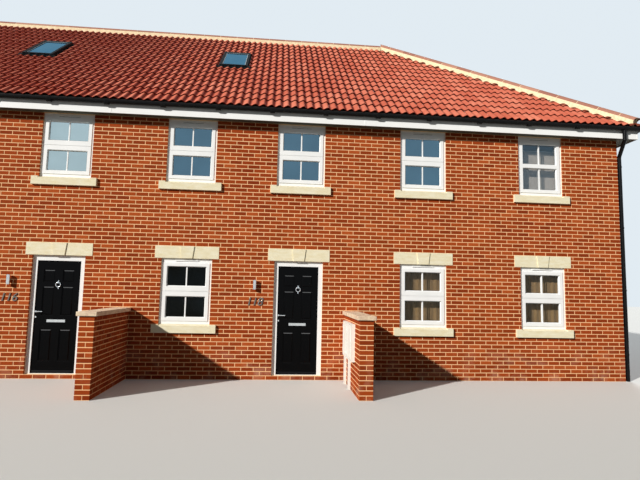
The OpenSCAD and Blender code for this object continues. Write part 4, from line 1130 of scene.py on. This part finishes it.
meter_white = plain_finish("meter_white", (238, 236, 224), (248, 247, 240), 5.0, 260.0, 0.0004,
    Roughness=0.5).dress("meter_boxes")
lock_black = plain_finish("lock_black", (20, 20, 20), (34, 34, 34), 30.0, Roughness=0.5)
doors, locks = Parts(), Parts()
meter_face = Face((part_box("meter_boxes")[0].x, 0, 0), (-1, 0, 0))
for box in solids("meter_boxes"):
    low, high = meter_face.see(box)
    opening = (low[0] + door_in, high[1] - box_h + door_in, high[0] - door_in, high[1] - door_in)
    doors.block((opening[0], opening[1], -0.001), (opening[2], opening[3], door_t), 0.004,
        face=meter_face)
    doors.surround(meter_face, opening, [(0.05, door_t - 0.0005), (0.062, door_t - 0.0005),
        (0.060, door_t + 0.0025), (0.052, door_t + 0.0025)])
    locks.surround(meter_face, opening, [(-0.0035, -0.001), (-0.0005, -0.001), (-0.0005, 0.0006),
        (-0.0035, 0.0006)])
    for v in (opening[1] + 0.08, opening[3] - 0.08):
        doors.turned(meter_face.at(opening[0] - 0.002, v - 0.03, 0.003), (0, 0, 1),
            [(0.004, 0), (0.005, 0.002), (0.005, 0.058), (0.004, 0.06)], 12)
    lock = meter_face.at(opening[2] - 0.03, (opening[1] + opening[3]) / 2, door_t)
    doors.turned(lock, (-1, 0, 0), [(0.016, -0.001), (0.016, 0.002), (0.013, 0.004)], 20)
    locks.turned(lock, (-1, 0, 0), [(0.008, 0.0035), (0.008, 0.0048)], 3)
doors.piece("meter_box_doors", meter_white, "meter_plastic")
locks.piece("meter_box_locks", lock_black, "meter_plastic")

# Floors. A power-floated concrete slab, and boarded floors over it.
plain_finish("concrete_floor", (138, 137, 132), (162, 161, 155), 5.0, 90.0, 0.001,
    Roughness=0.85).dress("ground_floor")
board_w = 0.12
boards = Finish("floor_boards", Roughness=0.6)
across = boards.axes()[1] / board_w
from_joint = across - across.math("ROUND")
joint = (from_joint * from_joint).share(0.0, 0.0006)
figure = boards.noise(9.0, 5.0, stretch=(0.4, 9.0, 9.0))
planed = boards.mix(figure, (176, 132, 86), (142, 100, 62))
boards.set(Base_Color=boards.mix(joint, (66, 46, 30), planed))
boards.bump(joint, 0.002)
boards.dress("first_floor", "loft_floor")

# The stage: a pale floor that the camera sees lighter than the light does, a pale world, a key
# light, a weak light behind, and the camera of the photo.
half_floor = 60.0
stage_finish = Finish("stage_floor", Roughness=0.9, Base_Color=paint((222, 222, 218)))


def seen_directly(graph):
    """1 for rays from the camera, and for those that metal and glass throw back or let by."""
    one, two, three = (graph.node("ShaderNodeLightPath", output=ray)
        for ray in ("Is Camera Ray", "Is Glossy Ray", "Is Transmission Ray"))
    return one.math("MAXIMUM", two).math("MAXIMUM", three)


bounce = stage_finish.node("ShaderNodeBsdfDiffuse", {}, {"Color": paint((108, 108, 105))})
plain = Value(stage_finish, stage_finish.shader.outputs[0])
chosen = stage_finish.node("ShaderNodeMixShader", {},
    {0: seen_directly(stage_finish), 1: bounce, 2: plain})
stage_finish.put(stage_finish.tree.nodes["Material Output"].inputs["Surface"], chosen)
mesh = bpy.data.meshes.new("stage_floor")
ground = [(x * half_floor, y * half_floor, 0) for x, y in ((-1, -1), (1, -1), (1, 1), (-1, 1))]
mesh.from_pydata(ground, [], [(0, 1, 2, 3)])
mesh.materials.append(stage_finish.material)
add_object("stage_floor", mesh)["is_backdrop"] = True

fill_strength = 0.16
pale_strength = 0.95
world = bpy.data.worlds.new("pale_studio")
bpy.context.scene.world = world
world.use_nodes = True
sky = Graph(world.node_tree)
fill, pale = (sky.node("ShaderNodeBackground", {}, {"Color": colour, "Strength": strength})
    for colour, strength in (((0.86, 0.93, 1.0, 1.0), fill_strength),
        ((0.80, 0.88, 0.94, 1.0), pale_strength)))
chosen = sky.node("ShaderNodeMixShader", {}, {0: seen_directly(sky), 1: fill, 2: pale})
sky.put(sky.tree.nodes["World Output"].inputs["Surface"], chosen)


def add_sun(name, energy, softness, colour, direction):
    sun = bpy.data.lights.new(name, "SUN")
    sun.energy, sun.angle, sun.color = energy, math.radians(softness), colour
    turn = Vector(direction).to_track_quat("-Z", "Y").to_euler()
    add_object(name, sun).rotation_euler = turn


add_sun("key_light", 4.4, 1.5, (1.0, 0.975, 0.935), (1.994, 1.690, -1.244))
add_sun("back_light", 1.8, 20.0, (0.94, 0.97, 1.0), (-0.35, -0.8, -0.5))

lens, camera_at = 27.74, (2.18905, -12.67523, 1.65685)
camera = bpy.data.cameras.new("camera")
camera.lens, camera.sensor_width = lens, 36.0
view = add_object("camera", camera)
right = Vector((0.99568151, -0.09042746, 0.02100488))
forward = Vector((0.08790273, 0.99110106, 0.09995896))
up = Vector((-0.02985699, -0.0976809, 0.99476982))
turn = Matrix((right, up, -forward)).transposed().to_4x4()
view.matrix_world = Matrix.Translation(camera_at) @ turn
bpy.context.scene.camera = view
bpy.context.scene.view_settings.view_transform = "Standard"

low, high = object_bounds()
{"cad": [list(cad_low), list(cad_high)], "visual": [list(low), list(high)]}
